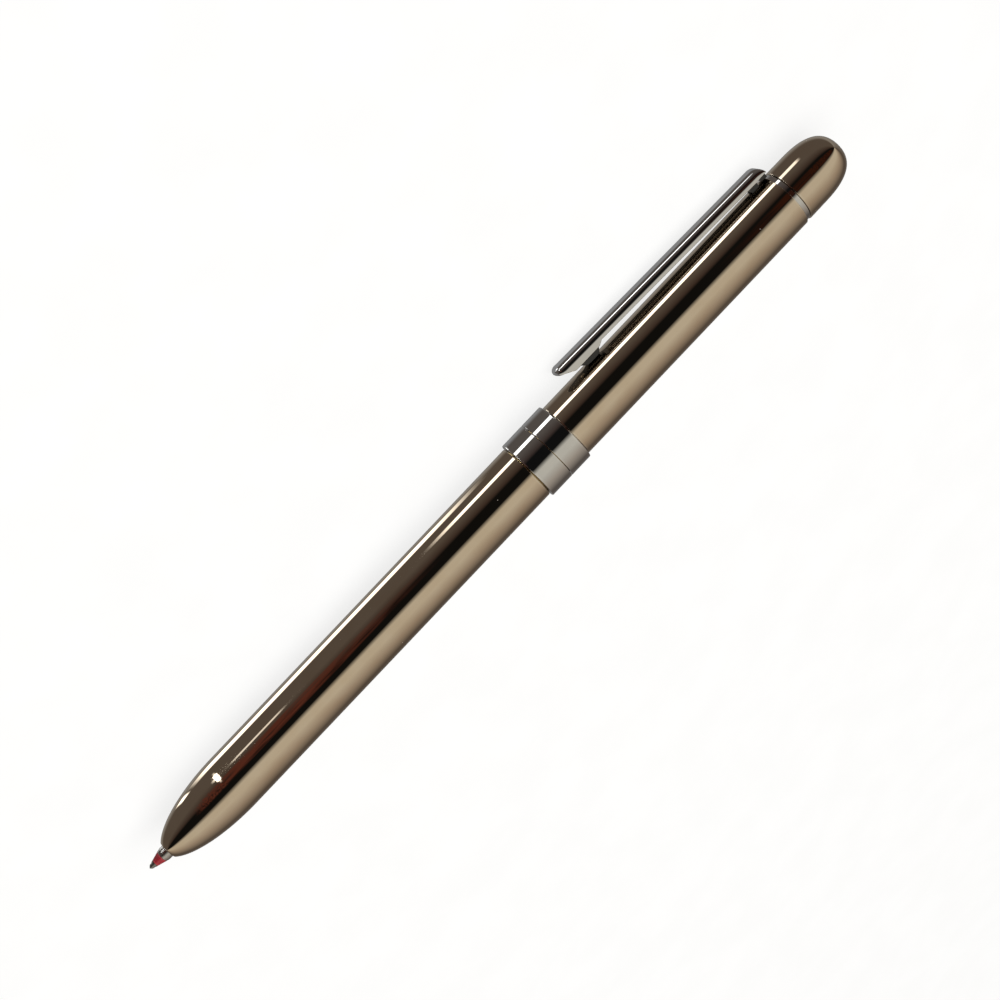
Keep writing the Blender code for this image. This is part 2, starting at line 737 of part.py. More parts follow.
def make_clip(clip_frame):
    sections = [(along, clip_section(along, half_width, low)) for along, half_width, low in clip_stations()]
    hinge_station, hinge_height = CLIP_HINGE
    hinge = empty("clip_hinge", clip_frame, (hinge_height, 0, hinge_station))
    clip = place("clip", loft("clip", sections), hinge, CHROME)
    clip.location = (-hinge_height, 0, -hinge_station)
    combine(clip, place_tool("clip_channel", loft("clip_channel", channel_cuts()), clip_frame), "DIFFERENCE")
    combine(clip, place_tool("clip_heel", loft("clip_heel", heel_sections()), clip_frame), "UNION")
    tab_heights = (TAB_DEPTH, SIDE_REAR + CLIP_ROOF)
    combine(clip, box("clip_tab", clip_frame, TAB, TAB_HALF_WIDTH, tab_heights), "UNION")
    foot_stations = (FOOT_START, TAB[0] + SEAM)
    foot_heights = (TAB_DEPTH + FIT, TAB_DEPTH + FOOT_THICKNESS)
    combine(clip, box("clip_foot", clip_frame, foot_stations, TAB_HALF_WIDTH - SEAM, foot_heights), "UNION")


def unit_frame(name, pen, angle, station=0.0, tilt=0.0):
    """A frame on one carrier's line: X outward, Z along the pen, leaned by a tilt about its own Y."""
    spin = empty(f"{name}_side", pen, rotation=(0, 0, angle))
    return empty(name, spin, (CARRIER_OFFSET, 0, station), (0, tilt, 0))


def build_pen():
    pen = empty("pen", None, (-BAND_MIDDLE, 0, AXIS_HEIGHT), (0, pi / 2, 0))
    clip_frame = empty("clip_frame", pen, rotation=(0, 0, clip_angle()))
    make_coupling_sleeve(pen)
    make_lower_band(pen)
    make_o_ring(pen)
    make_retaining_ring(pen)
    make_guide_cage(pen)
    make_lower_barrel(empty("barrel_thread", pen))
    twist = empty("twist_axis", pen)
    make_upper_band(twist)
    make_upper_barrel(twist, clip_frame)
    make_guide_bush(twist, clip_frame)
    make_cam(twist)
    stations = (CAM_END + FIT, KNOCK_FRONT - FIT)
    coil("knock_spring", twist, STEEL, KNOCK_COIL_RADIUS, KNOCK_WIRE_RADIUS, stations, KNOCK_TURNS)
    make_clip(clip_frame)
    make_knock_pieces(empty("knock_axis", pen))
    make_crown(empty("crown_axis", pen))
    units = [
        ("red", RED_ANGLE, 0.0, TILT_IN, RED_INK),
        ("black", BLACK_ANGLE, STROKE, -TILT_OUT, BLACK_INK),
    ]
    for name, angle, drawn_back, tilt, ink in units:
        make_carrier(name, unit_frame(f"{name}_slide", pen, angle, CAM_TIP_EXTENDED + drawn_back))
        make_carrier_spring(name, empty(f"{name}_spring_side", pen, rotation=(0, 0, angle)), drawn_back)
        make_refill(name, unit_frame(f"{name}_pivot", pen, angle, PIVOT_EXTENDED + drawn_back, tilt), ink)
    make_carrier("pencil", unit_frame("pencil_slide", pen, PENCIL_ANGLE, CAM_TIP_EXTENDED + STROKE))
    make_carrier_spring("pencil", empty("pencil_spring_side", pen, rotation=(0, 0, PENCIL_ANGLE)), STROKE)
    make_pencil(unit_frame("pencil_line", pen, PENCIL_ANGLE))


# Looks: colour, metallic, roughness.
BRONZE = ((0.62, 0.50, 0.37), 1.0, 0.06)
CHROME = ((0.75, 0.75, 0.74), 1.0, 0.05)
BRASS = ((0.78, 0.62, 0.33), 1.0, 0.25)
STEEL = ((0.62, 0.62, 0.61), 1.0, 0.22)
DARK_STEEL = ((0.33, 0.33, 0.33), 1.0, 0.28)
GRAPHITE = ((0.06, 0.06, 0.065), 0.3, 0.45)
RUBBER = ((0.02, 0.02, 0.02), 0.0, 0.6)
NATURAL_PLASTIC = ((0.75, 0.74, 0.70), 0.0, 0.4)
CARRIER_PLASTIC = ((0.05, 0.05, 0.055), 0.0, 0.4)
CAM_PLASTIC = ((0.60, 0.60, 0.58), 0.0, 0.35)
RED_INK = ((0.62, 0.03, 0.04), 0.0, 0.3)
BLACK_INK = ((0.02, 0.02, 0.022), 0.0, 0.3)
ERASER_WHITE = ((0.85, 0.85, 0.83), 0.0, 0.6)

clear_scene()
parts = new_collection("multicolor_click_pen")
tools = new_collection("cutters")
build_pen()
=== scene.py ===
"""Looks of a slim metal multi-function pen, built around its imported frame.

The pen lies along X. Stations are measured along it from the split in its centre band, towards the crown,
and angles about its axis from straight down towards +Y. Every length is in metres.
"""

import json
from math import atan, atan2, cos, pi, radians, sin, sqrt, tan, tau

import bmesh
import bpy
from mathutils import Matrix, Vector


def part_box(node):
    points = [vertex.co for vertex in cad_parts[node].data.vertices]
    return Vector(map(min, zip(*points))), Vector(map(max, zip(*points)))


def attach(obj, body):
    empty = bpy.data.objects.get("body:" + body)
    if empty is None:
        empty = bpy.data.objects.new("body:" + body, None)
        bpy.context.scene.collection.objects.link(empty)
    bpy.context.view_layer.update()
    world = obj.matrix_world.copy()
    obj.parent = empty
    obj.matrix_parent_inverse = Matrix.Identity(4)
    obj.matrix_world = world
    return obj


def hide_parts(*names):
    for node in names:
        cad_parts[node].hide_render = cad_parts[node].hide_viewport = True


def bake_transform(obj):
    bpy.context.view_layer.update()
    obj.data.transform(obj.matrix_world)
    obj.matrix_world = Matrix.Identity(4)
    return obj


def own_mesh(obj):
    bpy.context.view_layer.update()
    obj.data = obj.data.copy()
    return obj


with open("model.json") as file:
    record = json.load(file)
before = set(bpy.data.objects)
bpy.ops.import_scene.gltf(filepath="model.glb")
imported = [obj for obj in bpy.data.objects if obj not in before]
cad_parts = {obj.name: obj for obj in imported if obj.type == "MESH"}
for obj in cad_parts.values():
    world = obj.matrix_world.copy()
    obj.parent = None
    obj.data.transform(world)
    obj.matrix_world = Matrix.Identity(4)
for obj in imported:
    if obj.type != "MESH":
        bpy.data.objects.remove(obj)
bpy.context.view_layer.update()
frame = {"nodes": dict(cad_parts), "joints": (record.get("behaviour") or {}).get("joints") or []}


def half_width(node):
    low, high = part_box(node)
    return (high.y - low.y) / 2


# Read from the frame: where the band splits, the height of the axis, and the radii of the outer pieces.
SPLIT = (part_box("lower_band")[1].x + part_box("upper_band")[0].x) / 2
AXIS = (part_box("lower_band")[0].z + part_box("lower_band")[1].z) / 2
BAND_RADIUS = half_width("lower_band")
BARREL_RADIUS = half_width("lower_barrel")
CROWN_RADIUS = half_width("crown")
NECK_RADIUS = half_width("neck_ring")
SLEEVE_SHOULDER = half_width("coupling_sleeve")
KNOCK_FLANGE = half_width("knock_tube")
ERASER_RADIUS = half_width("eraser")

# How each piece is drawn: sides of the turned pieces, and the roundings that catch the light.
OUTER_SIDES = 144
INNER_SIDES = 72
SMALL_SIDES = 40
FILLET_STEPS = 5
SMOOTH_TURN = radians(9)
SHARP_EDGE = radians(35)
WIRE_EDGE = radians(50)
POINT_FILLET = 0.00002
FINEST_FILLET = 0.00003
FINE_FILLET = 0.00005
CARRIER_FILLET = 0.00006
SOFT_FILLET = 0.00012
WEAR_SPREAD = 0.00022
SEAM = 0.00002
ON_AXIS = 1e-9
SAME_STATION = 1e-7

# The carriers: how far off the axis they run, their stroke, and the turn from one to the next.
CARRIER_OFFSET = 0.00222
STROKE = 0.0090
TURN = radians(120)
CAM_TIP_EXTENDED = 0.0041
CAM_CLEARANCE = 0.00022
FOLLOWER_LENGTH = 0.0022
HEAD_LENGTH = 0.0016
REFILL_LENGTH = 0.0670
PIVOT_EXTENDED = -0.0150
CROSSING = -0.0790
RETRACTED_OFFSET = 0.00245

# The tip of a refill, by distance behind its point.
POINT_LENGTH = 0.0011
PLUG_LENGTH = 0.00135
POINT_RADIUS = 0.00025
TIP_MOUTH_RADIUS = 0.00093
FRONT_RADIUS = 0.00105
REFILL_RADIUS = 0.001175


def station(node, end):
    """The station of a node's front (0) or rear (1) end."""
    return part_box(node)[end].x - SPLIT


def ends(node):
    return station(node, 0), station(node, 1)


NOSE_END = station("lower_barrel", 0)
POINT_END = station("red_point", 0)
TILT_IN = atan(CARRIER_OFFSET / (PIVOT_EXTENDED - CROSSING))
TILT_OUT = atan((RETRACTED_OFFSET - CARRIER_OFFSET) / (PIVOT_EXTENDED - POINT_END))
REFILL_REACH = (PIVOT_EXTENDED - POINT_END) / cos(TILT_IN)
RED_ANGLE = pi
BLACK_ANGLE = RED_ANGLE + TURN
PENCIL_ANGLE = RED_ANGLE - TURN

# A frame on the pen's axis: X straight down, Y sideways, Z along the pen.
PEN = Matrix.Translation((SPLIT, 0, AXIS)) @ Matrix(((0, 0, 1, 0), (0, 1, 0, 0), (-1, 0, 0, 0), (0, 0, 0, 1)))


def spun(angle):
    return PEN @ Matrix.Rotation(angle, 4, "Z")


def unit_frame(angle, along=0.0, tilt=0.0):
    """A frame on one carrier's line: X outward, Z along the pen, leaned by a tilt about its own Y."""
    return spun(angle) @ Matrix.Translation((CARRIER_OFFSET, 0, along)) @ Matrix.Rotation(tilt, 4, "Y")


def polar(radius, angle, along):
    return Vector((radius * cos(angle), radius * sin(angle), along))


class Skin:
    """The points, faces and corner normals of one piece, in the row frame."""

    def __init__(self):
        self.points = []
        self.wear = []
        self.faces = []
        self.normals = []

    def point(self, place, wear=0.0):
        self.points.append(place)
        self.wear.append(wear)
        return len(self.points) - 1

    def face(self, corners, normals=()):
        self.faces.append(corners)
        self.normals += normals

    def join(self, rings, flipped=False, looped=False):
        """Faces between neighbouring rings. The ends are capped, or the last ring meets the first."""
        for first, second in zip(rings, rings[1:] + rings[:1] if looped else rings[1:]):
            for i in range(len(first)):
                k = (i + 1) % len(first)
                corners = [first[i], first[k], second[k], second[i]]
                self.face([corners[0]] + corners[:0:-1] if flipped else corners)
        if not looped:
            self.face(rings[0] if flipped else rings[0][::-1])
            self.face(rings[-1][::-1] if flipped else rings[-1])

    def piece(self, name, sharp_angle=None):
        mesh = bpy.data.meshes.new(name)
        mesh.from_pydata(self.points, [], self.faces)
        mesh.polygons.foreach_set("use_smooth", [True] * len(self.faces))
        if sharp_angle:
            mesh.set_sharp_from_angle(angle=sharp_angle)
        else:
            mesh.normals_split_custom_set(self.normals)
        # The point attribute holds worn edges above zero and painted shade below zero.
        mesh.attributes.new("wear", "FLOAT", "POINT").data.foreach_set("value", self.wear)
        made = bpy.data.objects.new(name, mesh)
        bpy.context.scene.collection.objects.link(made)
        return made


def rounded(corners, fillet):
    """Rounds an outline's corners. Gives (station, radius, worn) points, where worn is 1 on the roundings."""
    closed = corners[0][1] > 0
    count = len(corners)
    outline = []
    for i, corner in enumerate(corners):
        here = Vector(corner[:2])
        if not closed and i in (0, count - 1):
            outline.append((*here, 0.0))
            continue
        before = Vector(corners[i - 1][:2]) - here
        after = Vector(corners[(i + 1) % count][:2]) - here
        if before.angle(-after) < SMOOTH_TURN:
            outline.append((*here, 0.0))
            continue
        size = corner[2] if len(corner) > 2 else fillet
        reach = min(size, 0.4 * before.length, 0.4 * after.length)
        start = here + before.normalized() * reach
        end = here + after.normalized() * reach
        if before.length > 2 * (reach + WEAR_SPREAD):
            outline.append((*(start + before.normalized() * WEAR_SPREAD), 0.0))
        for k in range(FILLET_STEPS + 1):
            share = k / FILLET_STEPS
            spot = start * (1 - share) ** 2 + here * 2 * share * (1 - share) + end * share**2
            outline.append((*spot, 1.0))
        if after.length > 2 * (reach + WEAR_SPREAD):
            outline.append((*(end + after.normalized() * WEAR_SPREAD), 0.0))
    return outline


def outline_normals(outline, closed):
    """The normal at each point of an outline, as (along, out). A long stretch outweighs a short one."""
    count = len(outline)
    sums = [Vector((0, 0)) for _ in outline]
    for i in range(count if closed else count - 1):
        j = (i + 1) % count
        along = outline[j][0] - outline[i][0]
        out = outline[j][1] - outline[i][1]
        sums[i] += Vector((out, -along))
        sums[j] += Vector((out, -along))
    return [total.normalized() for total in sums]


def turned(name, corners, fillet=FINE_FILLET, sides=INNER_SIDES, place=PEN, window=None, ridge=None):
    """Turns an outline of (station, radius) corners about a frame's Z axis.

    An outline that starts on the axis is left open there, and any other is a closed ring. A window is
    (first station, last station, half width in columns), cut through the wall about angle 0. A ridge gives
    the extra radius at a station, radius and angle.
    """
    outline = rounded(corners, fillet)
    closed = outline[0][1] > 0
    following = outline[1:] + outline[:1]
    if sum(a[0] * b[1] - a[1] * b[0] for a, b in zip(outline, following)) < 0:
        outline.reverse()
    normals = outline_normals(outline, closed)
    skin = Skin()
    turn = place.to_3x3()
    rings = []
    ring_normals = []
    for (along, radius, wear), (tip, out) in zip(outline, normals):
        if radius < ON_AXIS:
            rings.append([skin.point(place @ Vector((0, 0, along)), wear)] * sides)
            ring_normals.append([turn @ Vector((0, 0, 1 if tip > 0 else -1))] * sides)
            continue
        angles = [tau * j / sides for j in range(sides)]
        reach = [radius + (ridge(along, radius, a) if ridge else 0.0) for a in angles]
        spots = [place @ polar(r, a, along) for r, a in zip(reach, angles)]
        rings.append([skin.point(spot, wear) for spot in spots])
        ring_normals.append([turn @ polar(out, a, tip) for a in angles])
    for i in range(len(outline) if closed else len(outline) - 1):
        k = (i + 1) % len(outline)
        middle = (outline[i][0] + outline[k][0]) / 2
        for j in range(sides):
            m = (j + 1) % sides
            if window and window[0] < middle < window[1] and min(j, sides - 1 - j) < window[2]:
                continue
            ids = [rings[i][j], rings[k][j], rings[k][m], rings[i][m]]
            at = [ring_normals[i][j], ring_normals[k][j], ring_normals[k][m], ring_normals[i][m]]
            keep = [n for n in range(4) if ids[n] != ids[n - 1]]
            skin.face([ids[n] for n in keep], [at[n] for n in keep])
    if window:
        close_window(skin, outline, rings, window)
    return skin.piece(name, SHARP_EDGE if ridge else None)


def close_window(skin, outline, rings, window):
    """Walls round a window: its two ends, then its two sides."""
    first, last, columns = window
    edges = {}
    for end in (first, last):
        there = [i for i in range(len(outline)) if abs(outline[i][0] - end) < SAME_STATION]
        edges[end] = sorted(there, key=lambda i: outline[i][1])
    sides = len(rings[0])
    around = [j % sides for j in range(-columns, columns + 1)]

    def wall(ids, facing):
        a, b, c = (Vector(skin.points[n]) for n in ids[:3])
        normal = (b - a).cross(c - b).normalized()
        if normal.dot(facing) < 0:
            ids.reverse()
            normal.negate()
        skin.face(ids, [normal] * len(ids))

    centre_column = rings[edges[first][-1]][0], rings[edges[last][-1]][0]
    centre = (Vector(skin.points[centre_column[0]]) + Vector(skin.points[centre_column[1]])) / 2
    for end in (first, last):
        inner, outer = edges[end][0], edges[end][-1]
        for j, m in zip(around, around[1:]):
            ids = [rings[inner][j], rings[outer][j], rings[outer][m], rings[inner][m]]
            wall(ids, centre - Vector(skin.points[ids[1]]))
    for j in (around[0], around[-1]):
        ids = [
            rings[edges[first][0]][j],
            rings[edges[first][-1]][j],
            rings[edges[last][-1]][j],
            rings[edges[last][0]][j],
        ]
        wall(ids, centre - Vector(skin.points[ids[1]]))


def ring(first, last, radius, bore):
    return [(first, bore), (first, radius), (last, radius), (last, bore)]


def dress(piece, node, look):
    """Gives a piece its finish and hides the CAD node that it stands in for."""
    material = bpy.data.materials[look]
    piece.data.materials.append(material)
    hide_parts(node)


def show(piece, body, node, look):
    """Dresses a piece and lets it ride on a body."""
    dress(piece, node, look)
    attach(piece, body)


def add_turned(node, body, look, corners, **form):
    """Shows a turned piece in place of its CAD node."""
    show(turned(f"fine_{node}", corners, **form), body, node, look)


# ------------------------ materials


def node(tree, kind, inputs=None, **settings):
    made = tree.nodes.new(kind)
    for key, value in settings.items():
        setattr(made, key, value)
    for key, value in (inputs or {}).items():
        if isinstance(value, bpy.types.NodeSocket):
            tree.links.new(value, made.inputs[key])
        else:
            made.inputs[key].default_value = value
    return made


def calculate(tree, operation, first, second=0.0):
    return node(tree, "ShaderNodeMath", {0: first, 1: second}, operation=operation).outputs[0]


def times(tree, first, second):
    return calculate(tree, "MULTIPLY", first, second)


def added(tree, value, extra, share):
    """A value with a share of another on top."""
    return calculate(tree, "ADD", value, times(tree, extra, share))


def remap(tree, value, low, high, to_low=0.0, to_high=1.0):
    inputs = {"Value": value, "From Min": low, "From Max": high, "To Min": to_low, "To Max": to_high}
    return node(tree, "ShaderNodeMapRange", inputs, interpolation_type="SMOOTHSTEP").outputs["Result"]


def noise(tree, coordinates, scale, detail=2.0):
    """Noise with its own scale along, across and up, in cycles for each metre."""
    scaled = node(tree, "ShaderNodeMapping", {"Vector": coordinates, "Scale": scale}).outputs["Vector"]
    inputs = {"Vector": scaled, "Scale": 1.0, "Detail": detail}
    return node(tree, "ShaderNodeTexNoise", inputs).outputs["Fac"]


def hairlines(tree, coordinates, scale, width):
    """Thin broken lines along the level curves of a stretched noise."""
    centred = calculate(tree, "SUBTRACT", noise(tree, coordinates, scale, 1.0), 0.5)
    level = calculate(tree, "ABSOLUTE", centred)
    line = remap(tree, level, 0.0, width, 1.0, 0.0)
    broken = remap(tree, noise(tree, coordinates, (700, 900, 900), 1.0), 0.55, 0.68)
    return times(tree, line, broken)


def specks(tree, coordinates, scale, size, share):
    """Sparse round specks: a share of the cells of a Voronoi pattern hold one."""
    cells = node(tree, "ShaderNodeTexVoronoi", {"Vector": coordinates, "Scale": scale})
    dot = remap(tree, cells.outputs["Distance"], size * 0.5, size, 1.0, 0.0)
    colour = node(tree, "ShaderNodeSeparateColor", {"Color": cells.outputs["Color"]}).outputs["Red"]
    return times(tree, dot, calculate(tree, "LESS_THAN", colour, share))


def blended(tree, share, first, second):
    mixer = node(tree, "ShaderNodeMix", {"Factor": share}, data_type="RGBA")
    for socket, value in ((mixer.inputs[6], first), (mixer.inputs[7], second)):
        if isinstance(value, bpy.types.NodeSocket):
            tree.links.new(value, socket)
        else:
            socket.default_value = (*value, 1.0)
    return mixer.outputs[2]


def make_finish(
    name,
    base,
    shade,
    roughness,
    spread,
    metallic=0.0,
    tone=(220, 420, 420),
    grain=(2600, 2600, 2600),
    grain_height=0.0,
    wave=0.0,
    scratch=0.0,
    dust=0.0,
    dust_colour=(0.55, 0.52, 0.48),
    worn=(0.9, 0.87, 0.8),
    worn_share=0.0,
    **sockets,
):
    """A procedural finish: drifting tone, a grain, hairline scratches, dust, worn edges and painted shade.

    The point attribute runs from 1, on a worn rounded edge, to -1, on a part painted near-black as shade and
    made rougher.
    """
    material = bpy.data.materials.new(name)
    material.use_nodes = True
    tree = material.node_tree
    shader = tree.nodes["Principled BSDF"]
    coordinates = node(tree, "ShaderNodeTexCoord").outputs["Object"]
    drift = noise(tree, coordinates, tone, 3.0)
    colour = blended(tree, remap(tree, drift, 0.35, 0.68), base, shade)
    fine = noise(tree, coordinates, grain, 3.0)
    smear = remap(tree, noise(tree, coordinates, (160, 240, 240), 4.0), 0.42, 0.7)
    rough = calculate(tree, "MULTIPLY_ADD", fine, spread)
    rough.node.inputs[2].default_value = roughness - 0.5 * spread
    rough = added(tree, rough, smear, 0.6 * spread)
    height = times(tree, fine, grain_height)
    if wave:
        slow = noise(tree, coordinates, (70, 260, 260), 1.0)
        height = added(tree, height, slow, wave)
    if scratch:
        along = hairlines(tree, coordinates, (160, 4200, 4200), 0.012)
        around = hairlines(tree, coordinates, (5200, 260, 260), 0.012)
        lines = calculate(tree, "MAXIMUM", along, around)
        colour = blended(tree, times(tree, lines, 0.25 * scratch), colour, worn)
        rough = added(tree, rough, lines, 0.25 * scratch)
        height = calculate(tree, "SUBTRACT", height, times(tree, lines, 0.0000003 * scratch))
    if worn_share:
        edge = node(tree, "ShaderNodeAttribute", attribute_name="wear").outputs["Fac"]
        patchy = remap(tree, noise(tree, coordinates, (900, 900, 900), 3.0), 0.35, 0.65, 0.3, 1.0)
        # Below zero the point attribute paints shade: the colour is taken towards near-black and the surface
        # made rougher.
        shaded_and_dull = calculate(tree, "MAXIMUM", times(tree, edge, -0.93))
        edge = calculate(tree, "MAXIMUM", edge)
        colour = blended(tree, shaded_and_dull, colour, (0.02, 0.02, 0.022))
        rough = added(tree, rough, shaded_and_dull, 0.3)
        rubbed = times(tree, times(tree, edge, patchy), worn_share)
        colour = blended(tree, rubbed, colour, worn)
        rough = added(tree, rough, rubbed, 0.2)
    if dust:
        dots = specks(tree, coordinates, 1500.0, 0.09, dust)
        colour = blended(tree, dots, colour, dust_colour)
        rough = added(tree, rough, dots, 0.5)
        height = added(tree, height, dots, 0.00001)
        tree.links.new(remap(tree, dots, 0.0, 1.0, metallic, 0.0), shader.inputs["Metallic"])
    else:
        shader.inputs["Metallic"].default_value = metallic
    tree.links.new(colour, shader.inputs["Base Color"])
    tree.links.new(node(tree, "ShaderNodeClamp", {0: rough, 1: 0.02}).outputs[0], shader.inputs["Roughness"])
    bump = node(tree, "ShaderNodeBump", {"Height": height, "Distance": 1.0, "Strength": 1.0})
    tree.links.new(bump.outputs["Normal"], shader.inputs["Normal"])
    for key, value in sockets.items():
        shader.inputs[key.replace("_", " ").title()].default_value = value


def make_finishes():
    """One finish for each material slot of the record, under the slot's name."""
    for packed in bpy.data.materials:
        packed.name = f"packed_{packed.name}"
    round_about = (5200, 300, 300)
    drawn = (240, 5200, 5200)
    chrome = dict(metallic=1.0, roughness=0.03, spread=0.018)
    chrome.update(scratch=0.3, dust=0.012, worn=(0.93, 0.92, 0.9), worn_share=0.6)
    looks = {
        "bronze_plate": dict(
            base=(0.80, 0.675, 0.525), shade=(0.77, 0.635, 0.48), metallic=1.0, roughness=0.026, spread=0.016,
            wave=0.0000012, scratch=0.18, dust=0.012, worn=(0.92, 0.85, 0.72), worn_share=0.6,
        ),
        "chrome_plate": dict(base=(0.79, 0.785, 0.77), shade=(0.75, 0.75, 0.745), wave=0.0000012, **chrome),
        "clip_chrome": dict(base=(0.79, 0.785, 0.78), shade=(0.75, 0.75, 0.755), wave=0.0000006, **chrome),
        "brass": dict(
            base=(0.78, 0.60, 0.30), shade=(0.66, 0.47, 0.21), metallic=1.0, roughness=0.26, spread=0.16,
            grain=round_about, grain_height=0.0000012, scratch=0.6, worn=(0.9, 0.76, 0.45), worn_share=0.7,
        ),
        "spring_steel": dict(
            base=(0.62, 0.62, 0.61), shade=(0.50, 0.50, 0.50), metallic=1.0, roughness=0.22, spread=0.12,
            grain=(4200, 4200, 4200), grain_height=0.0000004, worn=(0.8, 0.8, 0.8), worn_share=0.3,
        ),
        "refill_metal": dict(
            base=(0.64, 0.63, 0.61), shade=(0.54, 0.53, 0.51), metallic=1.0, roughness=0.27, spread=0.14,
            grain=drawn, grain_height=0.0000006, scratch=0.8, worn=(0.8, 0.79, 0.76), worn_share=0.5,
        ),
        "point_metal": dict(
            base=(0.35, 0.34, 0.33), shade=(0.24, 0.235, 0.23), metallic=1.0, roughness=0.3, spread=0.15,
            grain=(9000, 500, 500), grain_height=0.0000008, worn=(0.6, 0.58, 0.55), worn_share=0.6,
        ),
        "cage_plastic": dict(
            base=(0.75, 0.74, 0.69), shade=(0.69, 0.67, 0.60), roughness=0.42, spread=0.14,
            grain_height=0.0000025, worn=(0.82, 0.81, 0.78), worn_share=0.5, subsurface_weight=0.15,
        ),
        "black_plastic": dict(
            base=(0.045, 0.045, 0.05), shade=(0.028, 0.028, 0.03), roughness=0.4, spread=0.16,
            grain_height=0.000002, scratch=0.5, worn=(0.12, 0.12, 0.125), worn_share=0.6,
        ),
        "grey_plastic": dict(
            base=(0.58, 0.58, 0.56), shade=(0.50, 0.50, 0.48), roughness=0.36, spread=0.15,
            grain_height=0.000002, scratch=0.4, worn=(0.68, 0.68, 0.66), worn_share=0.5,
        ),
        "red_plastic": dict(
            base=(0.28, 0.015, 0.024), shade=(0.20, 0.009, 0.015), roughness=0.3, spread=0.14,
            grain_height=0.0000012, worn=(0.45, 0.09, 0.09), worn_share=0.5, coat_weight=0.2,
        ),
        "black_ink_plastic": dict(
            base=(0.022, 0.022, 0.024), shade=(0.014, 0.014, 0.015), roughness=0.3, spread=0.14,
            grain_height=0.0000012, worn=(0.09, 0.09, 0.09), worn_share=0.5, coat_weight=0.2,
        ),
        "rubber_ring": dict(
            base=(0.022, 0.022, 0.022), shade=(0.035, 0.035, 0.034), roughness=0.62, spread=0.2,
            grain=(6000, 6000, 6000), grain_height=0.000003, worn=(0.07, 0.07, 0.07), worn_share=0.4,
        ),
        "graphite": dict(
            base=(0.06, 0.06, 0.065), shade=(0.035, 0.035, 0.04), metallic=0.35, roughness=0.42, spread=0.2,
            grain=(9000, 2600, 2600), grain_height=0.000002, worn=(0.16, 0.16, 0.17), worn_share=0.6,
        ),
        "white_eraser": dict(
            base=(0.84, 0.84, 0.81), shade=(0.76, 0.75, 0.71), roughness=0.68, spread=0.16,
            grain=(3800, 3800, 3800), grain_height=0.000005, dust=0.05, dust_colour=(0.2, 0.2, 0.21),
            worn=(0.6, 0.59, 0.58), worn_share=0.7, subsurface_weight=0.1,
        ),
    }
    for name, look in looks.items():
        make_finish(name, **look)


# ------------------------ outer pieces


def make_lower_barrel():
    """A straight tube that closes in an ogive nose, with a hole for the points."""
    mouth, nose_length, steps = 0.00146, 0.0133, 56
    thread_bore, thread_end, bore, rear_bore_end = 0.0041, -0.0249, 0.00395, -0.0250
    nose_bore, cone_bore, cone_length, mouth_bore = 0.0038, 0.00352, 0.0080, 0.00134
    full = nose_length * sqrt(1 / (1 - (mouth / BARREL_RADIUS) ** 2))
    corners = []
    for i in range(steps + 1):
        distance = nose_length * (i / steps) ** 2
        radius = BARREL_RADIUS * sqrt(1 - ((nose_length - distance) / full) ** 2)
        corners.append((NOSE_END + distance, radius))
    end = station("lower_barrel", 1)
    corners += [(end, BARREL_RADIUS, SOFT_FILLET), (end, thread_bore), (thread_end, thread_bore)]
    corners += [(rear_bore_end, bore), (NOSE_END + nose_length, nose_bore)]
    corners += [(NOSE_END + cone_length, cone_bore), (NOSE_END, mouth_bore)]
    add_turned("lower_barrel", "front_barrel", "bronze_plate", corners, sides=OUTER_SIDES)


def make_bands():
    """The two halves of the centre band. The upper one has a spigot that the barrel is pressed on."""
    front, middle = ends("lower_band")
    edge = 0.00014
    bore = SLEEVE_SHOULDER + FINE_FILLET
    lower = [(front, BAND_RADIUS, edge), (middle, BAND_RADIUS), (middle, bore), (front, bore)]
    add_turned("lower_band", "core", "chrome_plate", lower, sides=OUTER_SIDES)
    start, spigot_end, band_end = *ends("upper_band"), 0.0037
    spigot, journal_bore, collar_bore, step = 0.00403, 0.00371, 0.00406, band_end - 0.0001
    upper = [(start, BAND_RADIUS), (band_end, BAND_RADIUS, edge), (band_end, spigot), (spigot_end, spigot)]
    upper += [(spigot_end, journal_bore), (step, journal_bore), (step, collar_bore), (start, collar_bore)]
    add_turned("upper_band", "rear_barrel", "chrome_plate", upper, sides=OUTER_SIDES)


# The slots for the clip's tab: stations, and half widths in columns of faces.
SLOT = (0.0453, 0.0469)
SLOT_COLUMNS = 5
BUSH_SLOT_START = 0.0440
BUSH_END_WALL = 0.0003
BUSH_SLOT_COLUMNS = 3


def make_upper_barrel(clip_angle):
    """The barrel behind the band and the bush inside it, both with a slot for the clip's tab."""
    start, end = ends("upper_barrel")
    bore, neck, neck_start = 0.00406, 0.00427, 0.0472
    corners = [(start, BARREL_RADIUS, SOFT_FILLET), (SLOT[0], BARREL_RADIUS), (SLOT[1], BARREL_RADIUS)]
    corners += [(end, BARREL_RADIUS, SOFT_FILLET), (end, neck), (neck_start, neck), (neck_start, bore)]
    corners += [(SLOT[1], bore), (SLOT[0], bore), (start, bore)]
    place = spun(clip_angle)
    window = (*SLOT, SLOT_COLUMNS)
    form = dict(sides=OUTER_SIDES, place=place, window=window)
    add_turned("upper_barrel", "rear_barrel", "bronze_plate", corners, **form)
    first, last = ends("guide_bush")
    opening, closing = BUSH_SLOT_START, last - BUSH_END_WALL
    outer, bore = 0.0040, 0.00352
    bush = ring(first, last, outer, bore)
    bush[2:2] = [(opening, outer), (closing, outer)]
    bush += [(closing, bore), (opening, bore)]
    window = (opening, closing, BUSH_SLOT_COLUMNS)
    add_turned("guide_bush", "rear_barrel", "black_plastic", bush, place=place, window=window)


